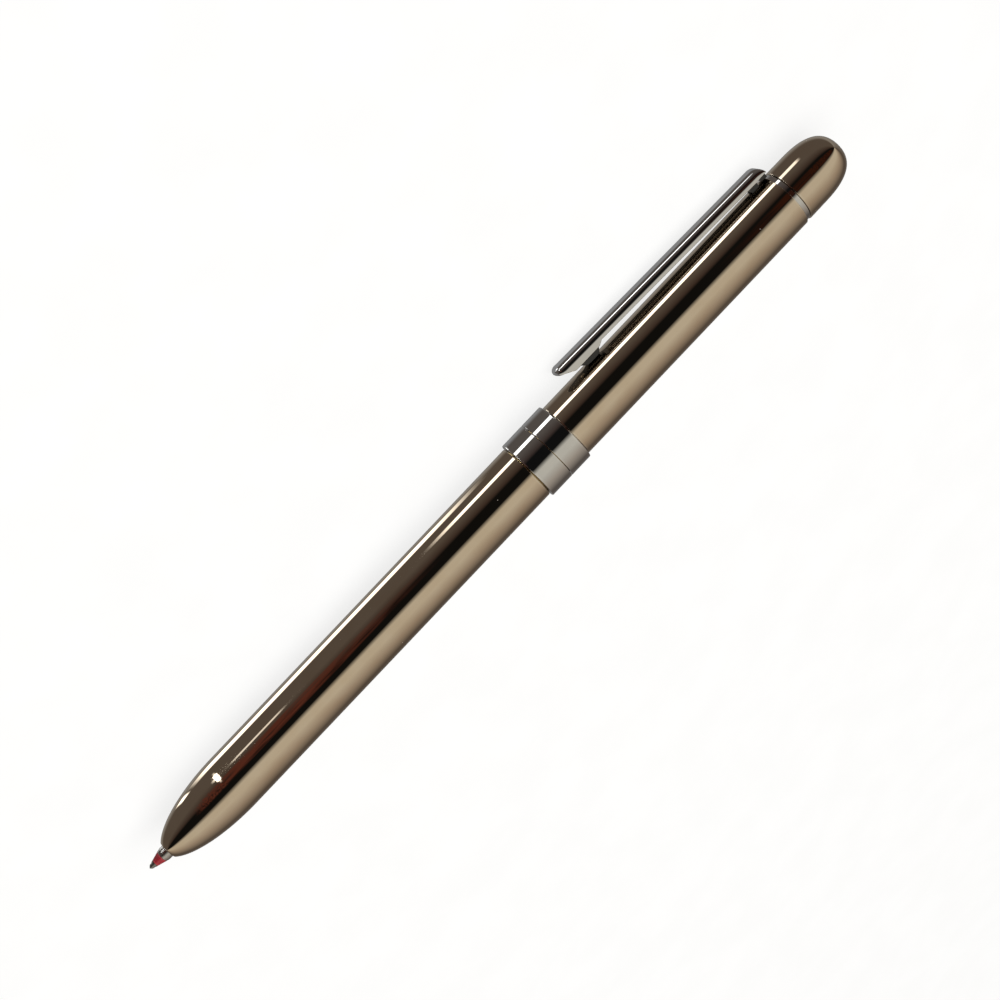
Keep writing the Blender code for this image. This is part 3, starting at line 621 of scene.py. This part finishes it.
def make_crown():
    """A short skirt that runs into a dome, rounder than a sphere at its shoulder."""
    start, end = ends("crown")
    dome_start, power, steps = start + 0.0026, 2.7, 56
    shoulder = CROWN_RADIUS - 0.00002
    bore, bore_end, ceiling_radius, ceiling = 0.00372, start + 0.0058, 0.0023, start + 0.0082
    corners = [(start, CROWN_RADIUS, SOFT_FILLET)]
    for i in range(steps):
        angle = pi / 2 * i / steps
        radius = shoulder * cos(angle) ** (2 / power)
        corners.append((dome_start + (end - dome_start) * sin(angle) ** (2 / power), radius))
    corners.append((end, 0))
    corners.reverse()
    corners += [(start, bore), (bore_end, bore), (ceiling, ceiling_radius), (ceiling, 0)]
    add_turned("crown", "crown", "bronze_plate", corners, sides=OUTER_SIDES)


def make_neck_ring():
    """The bright line under the crown."""
    bore = 0.0035
    corners = ring(*ends("neck_ring"), NECK_RADIUS, bore)
    add_turned("neck_ring", "knock", "chrome_plate", corners, sides=OUTER_SIDES)


# ------------------------ clip

# The clip, by stations and by heights over the pen's axis.
CLIP_START = 0.0081
CLIP_END = 0.0486
CLIP_NOSE = 0.0011
CLIP_NOSE_HEIGHT = 0.00696
CLIP_CREST = 0.00755
CLIP_CREST_START = 0.0099
CLIP_SLOPE = radians(1.16)
CLIP_TURN = 0.0014
CLIP_HALF_WIDTH = 0.00168
CLIP_CORNER = 0.00112
CLIP_WALL = 0.00042
CLIP_ROOF = 0.0005
CLIP_LIP = 0.00009
CLIP_SHALLOW = 0.00003
CLIP_STEPS = 14

# The hollow under the clip, and how far its inside is painted dark as shade and made dull. Its points are
# those nearest the middle of a section.
CHANNEL = (0.0168, 0.0452)
CHANNEL_END_WALL = 0.00006
CHANNEL_CORNER = 0.0002
CHANNEL_SHADE_AND_DULLNESS = -0.8
CHANNEL_POINTS = 6

# The lower edge of the clip's walls: (station, height).
CLIP_UNDERSIDE = [
    (0.0081, 0.00662),
    (0.0091, 0.00641),
    (0.0106, 0.00556),
    (0.0112, 0.00554),
    (0.0153, 0.00554),
    (0.0161, 0.00598),
    (0.0465, 0.00532),
    (0.0478, 0.00540),
    (0.0487, 0.00540),
]

# The bars under the clip: the underside as (station, height) pairs, the top's height and half the width.
HEEL_FOOT = BARREL_RADIUS + 0.00005
HEEL_CURVE = HEEL_FOOT + 0.00006
HEEL_TOP = 0.00554
HEEL = [
    (0.0113, HEEL_TOP),
    (0.0124, HEEL_CURVE),
    (0.0129, HEEL_FOOT),
    (0.0142, HEEL_FOOT),
    (0.0147, HEEL_CURVE),
    (0.0154, HEEL_TOP),
]
CLIP_BARS = [
    (HEEL, 0.0060, 0.0010),
    ([(0.0454, 0.00362), (0.0468, 0.00362)], 0.0056, 0.00085),
    ([(0.0443, 0.00364), (0.0455, 0.00364)], 0.00384, 0.00075),
    ([(0.0475, 0.00466), (0.0484, 0.00466)], 0.0056, 0.0012),
]
BAR_EDGE = 0.00012
# The bars under the clip and in the barrel's slot are painted near-black as shade and made dull.
BAR_SHADE_AND_DULLNESS = -1.0


def find_clip_angle():
    """The clip's direction about the axis, square to its hinge."""
    for joint in frame["joints"]:
        if joint["name"] == "clip_lift":
            axis = joint["axis"]
            return atan2(-axis[2], -axis[1])
    raise ValueError("the frame has no clip_lift joint")


def clip_crest(along):
    """The crest's height over the pen's axis: a long straight fall and a turned-down end."""
    height = CLIP_CREST - tan(CLIP_SLOPE) * (max(along, CLIP_CREST_START) - CLIP_CREST_START)
    past = along - (CLIP_END - CLIP_TURN)
    if past > 0:
        height -= CLIP_TURN - sqrt(max(0.0, CLIP_TURN**2 - past**2))
    return height


def between(table, along):
    """Reads a value from (station, value) pairs, with straight runs between them."""
    for (low, first), (high, second) in zip(table, table[1:]):
        if along <= high:
            return first + (second - first) * max(0.0, along - low) / (high - low)
    return table[-1][1]


def clip_section(along, scale):
    """The clip's outline at a station, as (height, side): a U with a round-cornered crest and thin lips."""
    crest, bottom = clip_crest(along), between(CLIP_UNDERSIDE, along)
    if scale < 1:
        crest = CLIP_NOSE_HEIGHT + (crest - CLIP_NOSE_HEIGHT) * scale
        bottom = CLIP_NOSE_HEIGHT + (bottom - CLIP_NOSE_HEIGHT) * scale
    wide = CLIP_HALF_WIDTH * scale
    corner = min(CLIP_CORNER * scale, 0.9 * wide, 0.85 * (crest - bottom))
    inner = wide - CLIP_WALL * scale
    depth = CLIP_SHALLOW * scale
    if CHANNEL[0] < along < CHANNEL[1]:
        depth = crest - CLIP_ROOF - bottom
    lip = min(CLIP_LIP * scale, 0.45 * (crest - corner - bottom))
    half = []
    for i in range(3):
        half.append((crest, (wide - corner) * (i / 3)))
    for i in range(13):
        angle = pi / 2 * i / 12
        half.append((crest - corner + corner * cos(angle), wide - corner + corner * sin(angle)))
    for i in range(1, 3):
        half.append((crest - corner + (bottom + lip - crest + corner) * i / 3, wide))
    for i in range(5):
        angle = pi / 2 * i / 4
        half.append((bottom + lip - lip * sin(angle), wide - lip + lip * cos(angle)))
    half.append((bottom, inner + 0.3 * (wide - inner)))
    half.append((bottom, inner))
    soft = min(CHANNEL_CORNER, 0.4 * depth)
    half.append((bottom + depth - soft, inner))
    for i in range(1, 4):
        angle = pi / 2 * i / 3
        half.append((bottom + depth - soft + soft * sin(angle), inner - soft + soft * cos(angle)))
    half.append((bottom + depth, 0.5 * (inner - soft)))
    mirrored = [(height, -side) for height, side in reversed(half[1:])]
    return half + [(bottom + depth, 0.0)] + mirrored


def clip_stations():
    """Where the clip's rings stand, as (station, share of the full section). They crowd at bends."""
    stops = []
    for i in range(1, CLIP_STEPS + 1):
        turn = pi / 2 * i / CLIP_STEPS
        stops.append((CLIP_START + CLIP_NOSE * (1 - cos(turn)), sin(turn)))
    straight = [0.0096, 0.0099, 0.0106, 0.0109, 0.0112, 0.0114, 0.0125, 0.0140, 0.0151, 0.0153]
    straight += [0.0155, 0.0159, 0.0161, 0.0163, CHANNEL[0], CHANNEL[0] + CHANNEL_END_WALL]
    straight += [0.0174, 0.0180, 0.0200, 0.0250, 0.0300, 0.0350, 0.0400, 0.0430, 0.0445]
    straight += [CHANNEL[1] - CHANNEL_END_WALL, CHANNEL[1], 0.0454, 0.0460, 0.0465]
    stops += [(along, 1.0) for along in straight]
    root, reach, steps = CLIP_END - CLIP_TURN, CLIP_TURN - 0.00001, 12
    return stops + [(root + reach * sin(pi / 2 * i / steps), 1.0) for i in range(steps + 1)]


def make_clip(clip_angle):
    """A folded channel that narrows to its nose, with a heel, a tab through the barrel and a root."""
    place = spun(clip_angle)
    skin = Skin()
    rings = []
    for along, scale in clip_stations():
        section = clip_section(along, scale)
        middle = len(section) // 2
        ring_points = []
        for i, (height, side) in enumerate(section):
            # The inside of the clip's hollow, round the middle of each section, is painted dark as shade.
            wear = CHANNEL_SHADE_AND_DULLNESS if abs(i - middle) <= CHANNEL_POINTS else 0.0
            ring_points.append(skin.point(place @ Vector((height, side, along)), wear))
        rings.append(ring_points)
    skin.join(rings)
    for underside, top, half in CLIP_BARS:
        add_bar(skin, place, underside, top, half)
    piece = skin.piece("fine_clip", SHARP_EDGE)
    steady = piece.modifiers.new("steady_normals", "WEIGHTED_NORMAL")
    steady.keep_sharp = True
    show(piece, "clip", "clip", "clip_chrome")


def add_bar(skin, place, underside, top, half):
    """A bar in a clip's frame with rounded lower edges, painted dark as shade and made dull, from (station,
    underside height) pairs.
    """
    rings = []
    for along, low in underside:
        outline = [(top, -half), (low + BAR_EDGE, -half)]
        outline += [(low + 0.3 * BAR_EDGE, 0.3 * BAR_EDGE - half), (low, BAR_EDGE - half)]
        outline += [(height, -side) for height, side in reversed(outline)]
        rings.append([skin.point(place @ Vector((h, s, along)), BAR_SHADE_AND_DULLNESS) for h, s in outline])
    skin.join(rings, flipped=True)


# ------------------------ refills


def make_refill(colour, angle, along, tilt, ink):
    """A ballpoint refill: a stepped metal tube, a coloured plug and a turned point with its ball."""
    place = unit_frame(angle, along, tilt)
    tip = -REFILL_REACH
    plug_start = tip + POINT_LENGTH
    front, rear = plug_start + PLUG_LENGTH, tip + REFILL_LENGTH
    taper = (TIP_MOUTH_RADIUS - POINT_RADIUS) / (POINT_LENGTH + PLUG_LENGTH)
    plug_radius = POINT_RADIUS + taper * POINT_LENGTH
    pieces = [
        ("refill_tube", refill_tube(tip, front, rear), "refill_metal", FINEST_FILLET),
        ("colour_plug", colour_plug(plug_start, front, plug_radius), ink, FINEST_FILLET),
        ("point", ball_point(tip, plug_start, plug_radius, taper), "point_metal", POINT_FILLET),
    ]
    for name, outline, look, fillet in pieces:
        form = dict(fillet=fillet, sides=SMALL_SIDES, place=place)
        add_turned(f"{colour}_{name}", f"{colour}_refill", look, outline, **form)


def refill_tube(tip, front, rear):
    """A tube with a narrower front, a crimp before its step, and a groove near its rear end."""
    step = tip + 0.0120
    crimp, groove = FRONT_RADIUS - 0.00009, REFILL_RADIUS - 0.00007
    bore, front_bore = 0.00096, 0.00085
    outline = [(front, TIP_MOUTH_RADIUS, FINEST_FILLET), (front + 0.00045, FRONT_RADIUS)]
    outline += [(step - 0.0006, FRONT_RADIUS), (step - 0.0004, crimp), (step - 0.0001, crimp)]
    outline += [(step + 0.0003, REFILL_RADIUS), (rear - 0.0030, REFILL_RADIUS), (rear - 0.0028, groove)]
    outline += [(rear - 0.0025, groove), (rear - 0.0023, REFILL_RADIUS), (rear, REFILL_RADIUS)]
    return outline + [(rear, bore), (step + 0.0003, bore), (step, front_bore), (front, front_bore)]


def colour_plug(start, front, radius):
    """The coloured cone between the tube's mouth and the point, with a stem inside the tube."""
    stem, bore, seam, stem_end = 0.00083, 0.00042, front - SEAM, front + 0.0040
    outline = [(start, radius, POINT_FILLET), (seam, TIP_MOUTH_RADIUS, FINEST_FILLET), (seam, stem)]
    return outline + [(stem_end, stem), (stem_end, bore), (start, bore)]


def ball_point(tip, plug_start, plug_radius, taper):
    """The writing ball, its turned cone with a fine groove, and the shank inside the plug."""
    ball, steps, shank, shank_end = 0.00013, 5, 0.0004, plug_start + 0.0030
    outline = [(tip, 0)]
    for i in range(1, steps + 1):
        turn = pi / 2 * i / steps
        outline.append((tip + ball * (1 - cos(turn)), ball * sin(turn)))
    outline.append((tip + ball * 1.05, POINT_RADIUS * 0.7))
    cone = [(0.0003, 0.0003), (0.00055, 0.00055), (0.0006, 0.0004), (0.0007, 0.0005), (0.00075, 0.00075)]
    outline += [(tip + behind, POINT_RADIUS + taper * width) for behind, width in cone]
    outline += [(plug_start - SEAM, plug_radius), (plug_start - SEAM, shank)]
    return outline + [(shank_end, shank), (shank_end, 0)]


# ------------------------ inner pieces

SLEEVE_FRONT = station("coupling_sleeve", 0)
THREAD_PITCH = 0.0010
THREAD_ROOT = 0.00382
THREAD_HEIGHT = 0.0002
THREAD_RINGS = 43
THREAD_RUN = (SLEEVE_FRONT + 0.0002, SLEEVE_FRONT + 0.0042)


def thread_ridge(along, radius, angle):
    """The height of the sleeve's thread: one flat-topped helical ridge that fades out at both ends."""
    if abs(radius - THREAD_ROOT) > SAME_STATION or not THREAD_RUN[0] < along < THREAD_RUN[1]:
        return 0.0
    turns = (along - THREAD_RUN[0]) / THREAD_PITCH + angle / tau
    fade = min(1.0, min(along - THREAD_RUN[0], THREAD_RUN[1] - along) / (0.5 * THREAD_PITCH))
    return THREAD_HEIGHT * fade * min(1.0, max(0.0, 0.45 + cos(tau * turns)))


def make_sleeve():
    """The coupling sleeve: a threaded front, a shoulder under the band, a ring groove and a journal."""
    shoulder, step = station("lower_band", 0), -0.0001
    collar, journal, groove = 0.00395, 0.00364, (0.0013, 0.0019)
    bore, collar_end, rear = 0.00346, 0.0036, station("coupling_sleeve", 1)
    corners = [(SLEEVE_FRONT, bore), (SLEEVE_FRONT, THREAD_ROOT, SOFT_FILLET)]
    corners += [(THREAD_RUN[0] + 0.1 * THREAD_PITCH * i, THREAD_ROOT) for i in range(THREAD_RINGS)]
    corners += [(shoulder, THREAD_ROOT), (shoulder, SLEEVE_SHOULDER), (step, SLEEVE_SHOULDER)]
    corners += [(step, collar), (groove[0], collar), (groove[0], journal), (groove[1], journal)]
    corners += [(groove[1], collar), (collar_end, collar), (collar_end, journal)]
    corners += [(rear, journal, SOFT_FILLET), (rear, bore)]
    add_turned("coupling_sleeve", "core", "brass", corners, ridge=thread_ridge)


def make_rings():
    """The rubber ring in the sleeve's groove, and the ring that keeps the upper barrel on."""
    middle = (station("friction_o_ring", 0) + station("friction_o_ring", 1)) / 2
    wire, points = 0.00016, 48
    centre = half_width("friction_o_ring") - wire
    turns = [tau * i / points for i in range(points)]
    section = [(middle + wire * sin(turn), centre + wire * cos(turn)) for turn in turns]
    add_turned("friction_o_ring", "core", "rubber_ring", section)
    first, last = ends("retaining_ring")
    outer, bore = half_width("retaining_ring"), 0.00369
    groove = outer - 0.00006
    corners = [(first, bore), (first, outer), (first + 0.0003, outer), (first + 0.00036, groove)]
    corners += [(first + 0.00044, groove), (first + 0.0005, outer), (last, outer), (last, bore)]
    add_turned("retaining_ring", "core", "spring_steel", corners, fillet=FINEST_FILLET)


def dress_guide_cage():
    """The three-ribbed cage keeps its CAD form, with its edges broken."""
    cage = frame["nodes"]["guide_cage"]
    for place in cage.material_slots:
        place.material = bpy.data.materials["cage_plastic"]
    edges = cage.modifiers.new("broken_edges", "BEVEL")
    edges.width = 0.00008
    edges.segments = 3
    edges.angle_limit = radians(40)
    edges.harden_normals = True


def make_cam():
    """A ring cam. Its front face climbs evenly to one lobe on both sides, over a third of a turn each."""
    bore, ring_radius, base, edge, steps = 0.0014, 0.00334, 0.0040, 0.00006, 120
    floor, rear = CAM_TIP_EXTENDED + CAM_CLEARANCE + STROKE, station("cam", 1)
    lip = floor + 0.0002
    groove = (lip + 0.0010, lip + 0.0016)
    place = spun(RED_ANGLE)
    skin = Skin()
    rings = []
    for i in range(steps):
        angle = tau * i / steps
        front = floor - STROKE * max(0.0, 1 - min(angle, tau - angle) / TURN)
        outline = [(rear - edge, bore, 1), (rear, bore + edge, 1), (rear, base - edge, 1)]
        outline += [(rear - edge, base, 1), (groove[1], base, 0), (groove[1] - 0.0001, base - edge, 1)]
        outline += [(groove[0] + 0.0001, base - edge, 1), (groove[0], base, 0), (lip + edge, base, 1)]
        outline += [(lip, base - edge, 1), (lip, ring_radius, 0), (front + edge, ring_radius, 1)]
        outline += [(front, ring_radius - edge, 1), (front, bore + edge, 1), (front + edge, bore, 1)]
        rings.append([skin.point(place @ polar(r, angle, z), wear) for z, r, wear in outline])
    skin.join(rings, looped=True)
    show(skin.piece("fine_cam", SHARP_EDGE), "rear_barrel", "cam", "grey_plastic")


def coil(name, place, coil_radius, wire, stations, turns, flatten=1.0):
    """A compression spring with closed ends: a helix of wire, flattened along its axis by a share."""
    steps, sides, closed_turns, closed_rise = 32, 12, 0.9, 1.6 * wire
    first, last = stations[0] + wire, stations[1] - wire
    rise = [(0, first), (closed_turns, first + closed_rise)]
    rise += [(turns - closed_turns, last - closed_rise), (turns, last)]
    turns_about = [tau * k / sides for k in range(sides)]
    rear = Vector((0, 0, wire * flatten))
    skin = Skin()
    rings = []
    for i in range(steps * turns + 1):
        angle = tau * i / steps
        centre = polar(coil_radius, angle, between(rise, i / steps))
        out = Vector((cos(angle), sin(angle), 0)) * wire
        rings.append([skin.point(place @ (centre + out * cos(a) + rear * sin(a))) for a in turns_about])
    skin.join(rings, flipped=True)
    return skin.piece(name, WIRE_EDGE)


def along_pen(at):
    return Vector((SPLIT + at, 0, AXIS))


def make_springs():
    """The three carriers' springs and the knock spring. The red one is drawn pressed together."""
    wire, coil_radius, coils = 0.0001, 0.00086, 6
    plate_end, short = -0.00298, 0.00328
    full = short + STROKE
    compressed, stretched = (plate_end, plate_end + short), (plate_end, plate_end + full)
    piece = coil("fine_red_spring", unit_frame(RED_ANGLE), coil_radius, wire, compressed, coils, 0.5)
    dress(piece, "red_spring", "spring_steel")
    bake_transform(piece)
    piece = coil("fine_black_spring", unit_frame(BLACK_ANGLE), coil_radius, wire, stretched, coils)
    show(piece, "core", "black_spring", "spring_steel")
    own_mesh(piece)
    piece = coil("fine_pencil_spring", unit_frame(PENCIL_ANGLE), coil_radius, wire, stretched, coils)
    show(piece, "core", "pencil_spring", "spring_steel")
    first, last = ends("knock_spring")
    knock_radius, knock_wire, knock_coils, travel = 0.0031, 0.00018, 4, 0.00075
    piece = coil("fine_knock_spring", PEN, knock_radius, knock_wire, (first, last), knock_coils)
    show(piece, "rear_barrel", "knock_spring", "spring_steel")
    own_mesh(piece)


def make_carrier(colour, angle, drawn_back, body):
    """A carrier's rod: a barbed stub in the refill, a head on the spring and a pointed cam follower."""
    stub, neck, head, follower, tip = 0.00068, 0.00062, 0.00105, 0.00042, 0.00008
    refill_rear = POINT_END + REFILL_LENGTH - CAM_TIP_EXTENDED
    stub_start, head_end = refill_rear - 0.0023, -FOLLOWER_LENGTH
    head_start = head_end - HEAD_LENGTH
    corners = [(stub_start, 0), (stub_start, stub, 0.0002), (refill_rear - 0.0010, stub)]
    corners += [(refill_rear - 0.0009, neck), (refill_rear - 0.0006, neck), (refill_rear - 0.0005, stub)]
    corners += [(head_start, stub), (head_start, head), (head_end, head), (head_end, follower)]
    corners += [(-0.0010, follower), (0, tip), (0, 0)]
    place = unit_frame(angle, CAM_TIP_EXTENDED + drawn_back)
    form = dict(fillet=CARRIER_FILLET, sides=SMALL_SIDES, place=place)
    add_turned(f"{colour}_carrier", body, "black_plastic", corners, **form)


def make_knock_tube():
    """The tube between the crown and the knock spring, and the eraser in its rear end."""
    front, rear = ends("knock_tube")
    outer, seat, start = 0.00345, 0.00366, station("crown", 0)
    groove, collar, flange_end = seat - 0.0001, (0.0379, 0.0394), front + 0.0012
    front_bore, eraser_bore, lead_bore = 0.0026, 0.00255, 0.0022
    eraser_seat, lead_seat = 0.0460, 0.0455
    corners = [(front, front_bore), (front, KNOCK_FLANGE), (flange_end, KNOCK_FLANGE), (flange_end, outer)]
    corners += [(collar[0], outer), (collar[0], KNOCK_FLANGE), (collar[1], KNOCK_FLANGE), (collar[1], outer)]
    corners += [(start, outer), (start, seat), (start + 0.0020, seat), (start + 0.0021, groove)]
    corners += [(start + 0.0026, groove), (start + 0.0027, seat), (rear, seat, SOFT_FILLET)]
    corners += [(rear, eraser_bore), (eraser_seat, eraser_bore), (eraser_seat, lead_bore)]
    corners += [(lead_seat, lead_bore), (lead_seat, front_bore)]
    add_turned("knock_tube", "knock", "brass", corners)
    first, last = ends("eraser")
    corners = [(first, 0), (first, ERASER_RADIUS), (last, ERASER_RADIUS, 0.0004), (last, 0)]
    add_turned("eraser", "knock", "white_eraser", corners)


def make_pencil():
    """The pencil unit, drawn back: a tube body, a stepped cone, the lead sleeve and the lead."""
    place = unit_frame(PENCIL_ANGLE)
    tip = POINT_END + STROKE
    cone_start, cone_end, rear = tip + 0.0030, tip + 0.0080, tip + REFILL_LENGTH
    groove, bore, sleeve_bore, sleeve_radius = REFILL_RADIUS - 0.00006, 0.00096, 0.00027, 0.0004
    body = [(cone_end, REFILL_RADIUS), (cone_end + 0.0020, REFILL_RADIUS), (cone_end + 0.0021, groove)]
    body += [(cone_end + 0.0024, groove), (cone_end + 0.0025, REFILL_RADIUS), (rear, REFILL_RADIUS)]
    body += [(rear, bore), (cone_end, bore)]
    shank, shank_end, cone_bore, seam = 0.00094, cone_end + 0.0030, 0.00042, cone_end - SEAM
    cone = [(cone_start, 0.0005), (cone_start + 0.0012, 0.00066), (cone_start + 0.0013, 0.00074)]
    cone += [(cone_end - 0.0010, 0.00100), (cone_end - 0.0009, FRONT_RADIUS), (seam, FRONT_RADIUS)]
    cone += [(seam, shank), (shank_end, shank), (shank_end, cone_bore), (cone_start, cone_bore)]
    soft_tip = 0.00008
    sleeve = [(tip, sleeve_bore), (tip, sleeve_radius, soft_tip), (cone_end, sleeve_radius)]
    sleeve.append((cone_end, sleeve_bore))
    lead, point, lead_end = 0.00025, tip - 0.0005, tip + 0.0400
    rod_of_lead = [(point, 0), (point, lead, soft_tip), (lead_end, lead), (lead_end, 0)]
    pieces = [
        ("pencil_body", body, "refill_metal"),
        ("pencil_cone", cone, "chrome_plate"),
        ("pencil_lead_sleeve", sleeve, "refill_metal"),
        ("pencil_lead", rod_of_lead, "graphite"),
    ]
    for name, corners, look in pieces:
        form = dict(fillet=FINEST_FILLET, sides=SMALL_SIDES, place=place)
        add_turned(name, "core", look, corners, **form)


# ------------------------ studio


# The room that the plating reflects, by angles about the pen's axis, in degrees from +Y towards up.
DIM = (0.10, 0.085, 0.075)
GREY_WALL = (0.28, 0.28, 0.28)
BROWN = (0.05, 0.035, 0.03)
DARK = (0.006, 0.006, 0.006)
PALE = (0.55, 0.52, 0.45)
TAN_WALL = (0.36, 0.31, 0.26)
ROOM = [
    (-180, DIM),
    (-105, GREY_WALL),
    (-80, DIM),
    (-15, DIM),
    (10, BROWN),
    (20, DARK),
    (52, DARK),
    (66, PALE),
    (90, PALE),
    (125, TAN_WALL),
    (165, DIM),
]

# Patches of the room: angle, half width, slopes along the pen where it fades in and out, colour or strength.
REDDISH = [
    (17, 15, (-0.50, -0.34), (-0.11, 0.01), (0.10, 0.03, 0.02)),
    (40, 12, (0.20, 0.26), (0.9, 1.0), (0.035, 0.01, 0.005)),
]
LAMPS = [
    (-79, 10.5, (-0.30, -0.15), (-0.005, 0.05), 2.6),
    (-79, 9.0, (-0.39, -0.355), (-0.325, -0.295), 2.6),
    (-31.5, 5.8, (-0.005, 0.03), (0.22, 0.34), 2.6),
    (-12.5, 3.0, (-0.151, -0.146), (-0.118, -0.108), 1.0),
    (-14, 22, (-0.196, -0.188), (-0.182, -0.174), 1.3),
    (-14, 4, (-0.240, -0.205), (-0.174, -0.160), 1.3),
    (-14, 13, (-0.206, -0.196), (-0.176, -0.166), 9.0),
]
LAMP_WARMTH = 0.985
BACKDROP = (0.95, 0.95, 0.95)


def patch(tree, turn, along, angle, half, fade_in, fade_out, share):
    """A soft-edged patch of the room, by direction about the pen's axis in degrees and slope along it."""
    off = calculate(tree, "ABSOLUTE", calculate(tree, "SUBTRACT", turn, angle))
    strip = times(tree, remap(tree, off, half * 0.7, half * 1.25, 1.0, 0.0), share)
    strip = times(tree, strip, remap(tree, along, *fade_in))
    return times(tree, strip, remap(tree, along, *fade_out, 1.0, 0.0))


def make_world():
    """A dim warm room with a pale ceiling, two strip lamps and smaller ones. The camera sees it plain."""
    world = bpy.data.worlds.new("studio")
    bpy.context.scene.world = world
    world.use_nodes = True
    tree = world.node_tree
    tree.nodes.clear()
    direction = node(tree, "ShaderNodeTexCoord").outputs["Generated"]
    split = node(tree, "ShaderNodeSeparateXYZ", {0: direction})
    along = split.outputs["X"]
    turn = calculate(tree, "ARCTAN2", split.outputs["Z"], split.outputs["Y"])
    share = calculate(tree, "MULTIPLY_ADD", turn, 1 / tau)
    share.node.inputs[2].default_value = 0.5
    ramp = node(tree, "ShaderNodeValToRGB", {"Fac": share})
    elements = ramp.color_ramp.elements
    elements[1].position = 1.0
    elements[1].color = (*ROOM[0][1], 1.0)
    elements[0].color = (*ROOM[0][1], 1.0)
    for angle, colour in ROOM[1:]:
        elements.new(angle / 360 + 0.5).color = (*colour, 1.0)
    room = ramp.outputs["Color"]
    degrees_turn = times(tree, turn, 360 / tau)
    mottled = remap(tree, noise(tree, direction, (70, 9, 9), 2.0), 0.32, 0.62, 0.25, 1.0)
    for *where, tint in REDDISH:
        room = blended(tree, patch(tree, degrees_turn, along, *where, mottled), room, tint)
    for *where, strength in LAMPS:
        strip = patch(tree, degrees_turn, along, *where, 1.0)
        room = blended(tree, strip, room, (strength, strength, strength * LAMP_WARMTH))
    seen = node(tree, "ShaderNodeLightPath").outputs["Is Camera Ray"]
    colour = blended(tree, seen, room, BACKDROP)
    background = node(tree, "ShaderNodeBackground", {"Color": colour, "Strength": 1.0})
    output = node(tree, "ShaderNodeOutputWorld")
    tree.links.new(background.outputs[0], output.inputs["Surface"])


FLOOR_DROP = 0.00006
FLOOR_SIZE = 3.0
FLOOR_GLOW = (0.83, 0.83, 0.828), (0.82, 0.82, 0.817)
FLOOR_TONE = (0.15, 0.15, 0.15), (0.145, 0.145, 0.144)


def make_floor():
    """A pale floor that mostly glows, so the pen's shadow stays faint. It shows in no reflection."""
    mesh = bpy.data.meshes.new("floor")
    grid = bmesh.new()
    bmesh.ops.create_grid(grid, x_segments=1, y_segments=1, size=FLOOR_SIZE)
    grid.to_mesh(mesh)
    grid.free()
    floor = bpy.data.objects.new("floor", mesh)
    floor.location.z = -FLOOR_DROP
    bpy.context.scene.collection.objects.link(floor)
    material = bpy.data.materials.new("pale_floor")
    material.use_nodes = True
    tree = material.node_tree
    shader = tree.nodes["Principled BSDF"]
    coordinates = node(tree, "ShaderNodeTexCoord").outputs["Object"]
    tone = remap(tree, noise(tree, coordinates, (90, 90, 90), 4.0), 0.3, 0.7)
    tree.links.new(blended(tree, tone, *FLOOR_TONE), shader.inputs["Base Color"])
    tree.links.new(blended(tree, tone, *FLOOR_GLOW), shader.inputs["Emission Color"])
    shader.inputs["Emission Strength"].default_value = 1.0
    shader.inputs["Roughness"].default_value = 0.7
    shader.inputs["Specular IOR Level"].default_value = 0.0
    mesh.materials.append(material)
    floor.visible_glossy = False


def make_light():
    """One big soft lamp overhead, which lights the floor and the plastic."""
    data = bpy.data.lights.new("softbox", "AREA")
    data.shape = "DISK"
    data.size = 1.4
    data.energy = 9.6
    data.color = (1.0, 0.995, 0.985)
    light = bpy.data.objects.new("softbox", data)
    light.location = (0.0, 0.15, 0.75)
    light.rotation_euler = (-0.2, 0, 0)
    light.visible_glossy = False
    light.visible_camera = False
    bpy.context.scene.collection.objects.link(light)


CAMERA_RISE = radians(38.7)
CAMERA_ROLL = radians(46.5)
CAMERA_DISTANCE = 0.270
CAMERA_STATION = -0.0213
CAMERA_LENS = 69.4
CAMERA_SHIFT = (0.058, 0.061)


def make_camera():
    """Looks down across the pen from its clip side, rolled so that the pen stands aslant."""
    back = Vector((0, cos(CAMERA_RISE), sin(CAMERA_RISE)))
    across = Vector((0, -sin(CAMERA_RISE), cos(CAMERA_RISE)))
    along = Vector((1, 0, 0))
    right = along * cos(CAMERA_ROLL) + across * sin(CAMERA_ROLL)
    up = along * sin(CAMERA_ROLL) - across * cos(CAMERA_ROLL)
    data = bpy.data.cameras.new("camera")
    data.lens = CAMERA_LENS
    data.sensor_width = 36.0
    data.shift_x, data.shift_y = CAMERA_SHIFT
    data.clip_start = 0.01
    camera = bpy.data.objects.new("camera", data)
    place = Matrix.Translation(along_pen(CAMERA_STATION) + back * CAMERA_DISTANCE)
    camera.matrix_world = place @ Matrix((right, up, back)).transposed().to_4x4()
    bpy.context.scene.collection.objects.link(camera)
    bpy.context.scene.camera = camera


def build():
    make_finishes()
    clip_angle = find_clip_angle()
    make_lower_barrel()
    make_bands()
    make_upper_barrel(clip_angle)
    make_crown()
    make_neck_ring()
    make_clip(clip_angle)
    make_refill("red", RED_ANGLE, PIVOT_EXTENDED, TILT_IN, "red_plastic")
    make_refill("black", BLACK_ANGLE, PIVOT_EXTENDED + STROKE, -TILT_OUT, "black_ink_plastic")
    make_sleeve()
    make_rings()
    dress_guide_cage()
    make_cam()
    make_springs()
    make_carrier("red", RED_ANGLE, 0.0, "red_carrier")
    make_carrier("black", BLACK_ANGLE, STROKE, "black_carrier")
    make_carrier("pencil", PENCIL_ANGLE, STROKE, "core")
    make_knock_tube()
    make_pencil()
    make_world()
    make_floor()
    make_light()
    make_camera()
    bpy.context.scene.view_settings.view_transform = "Standard"


build()
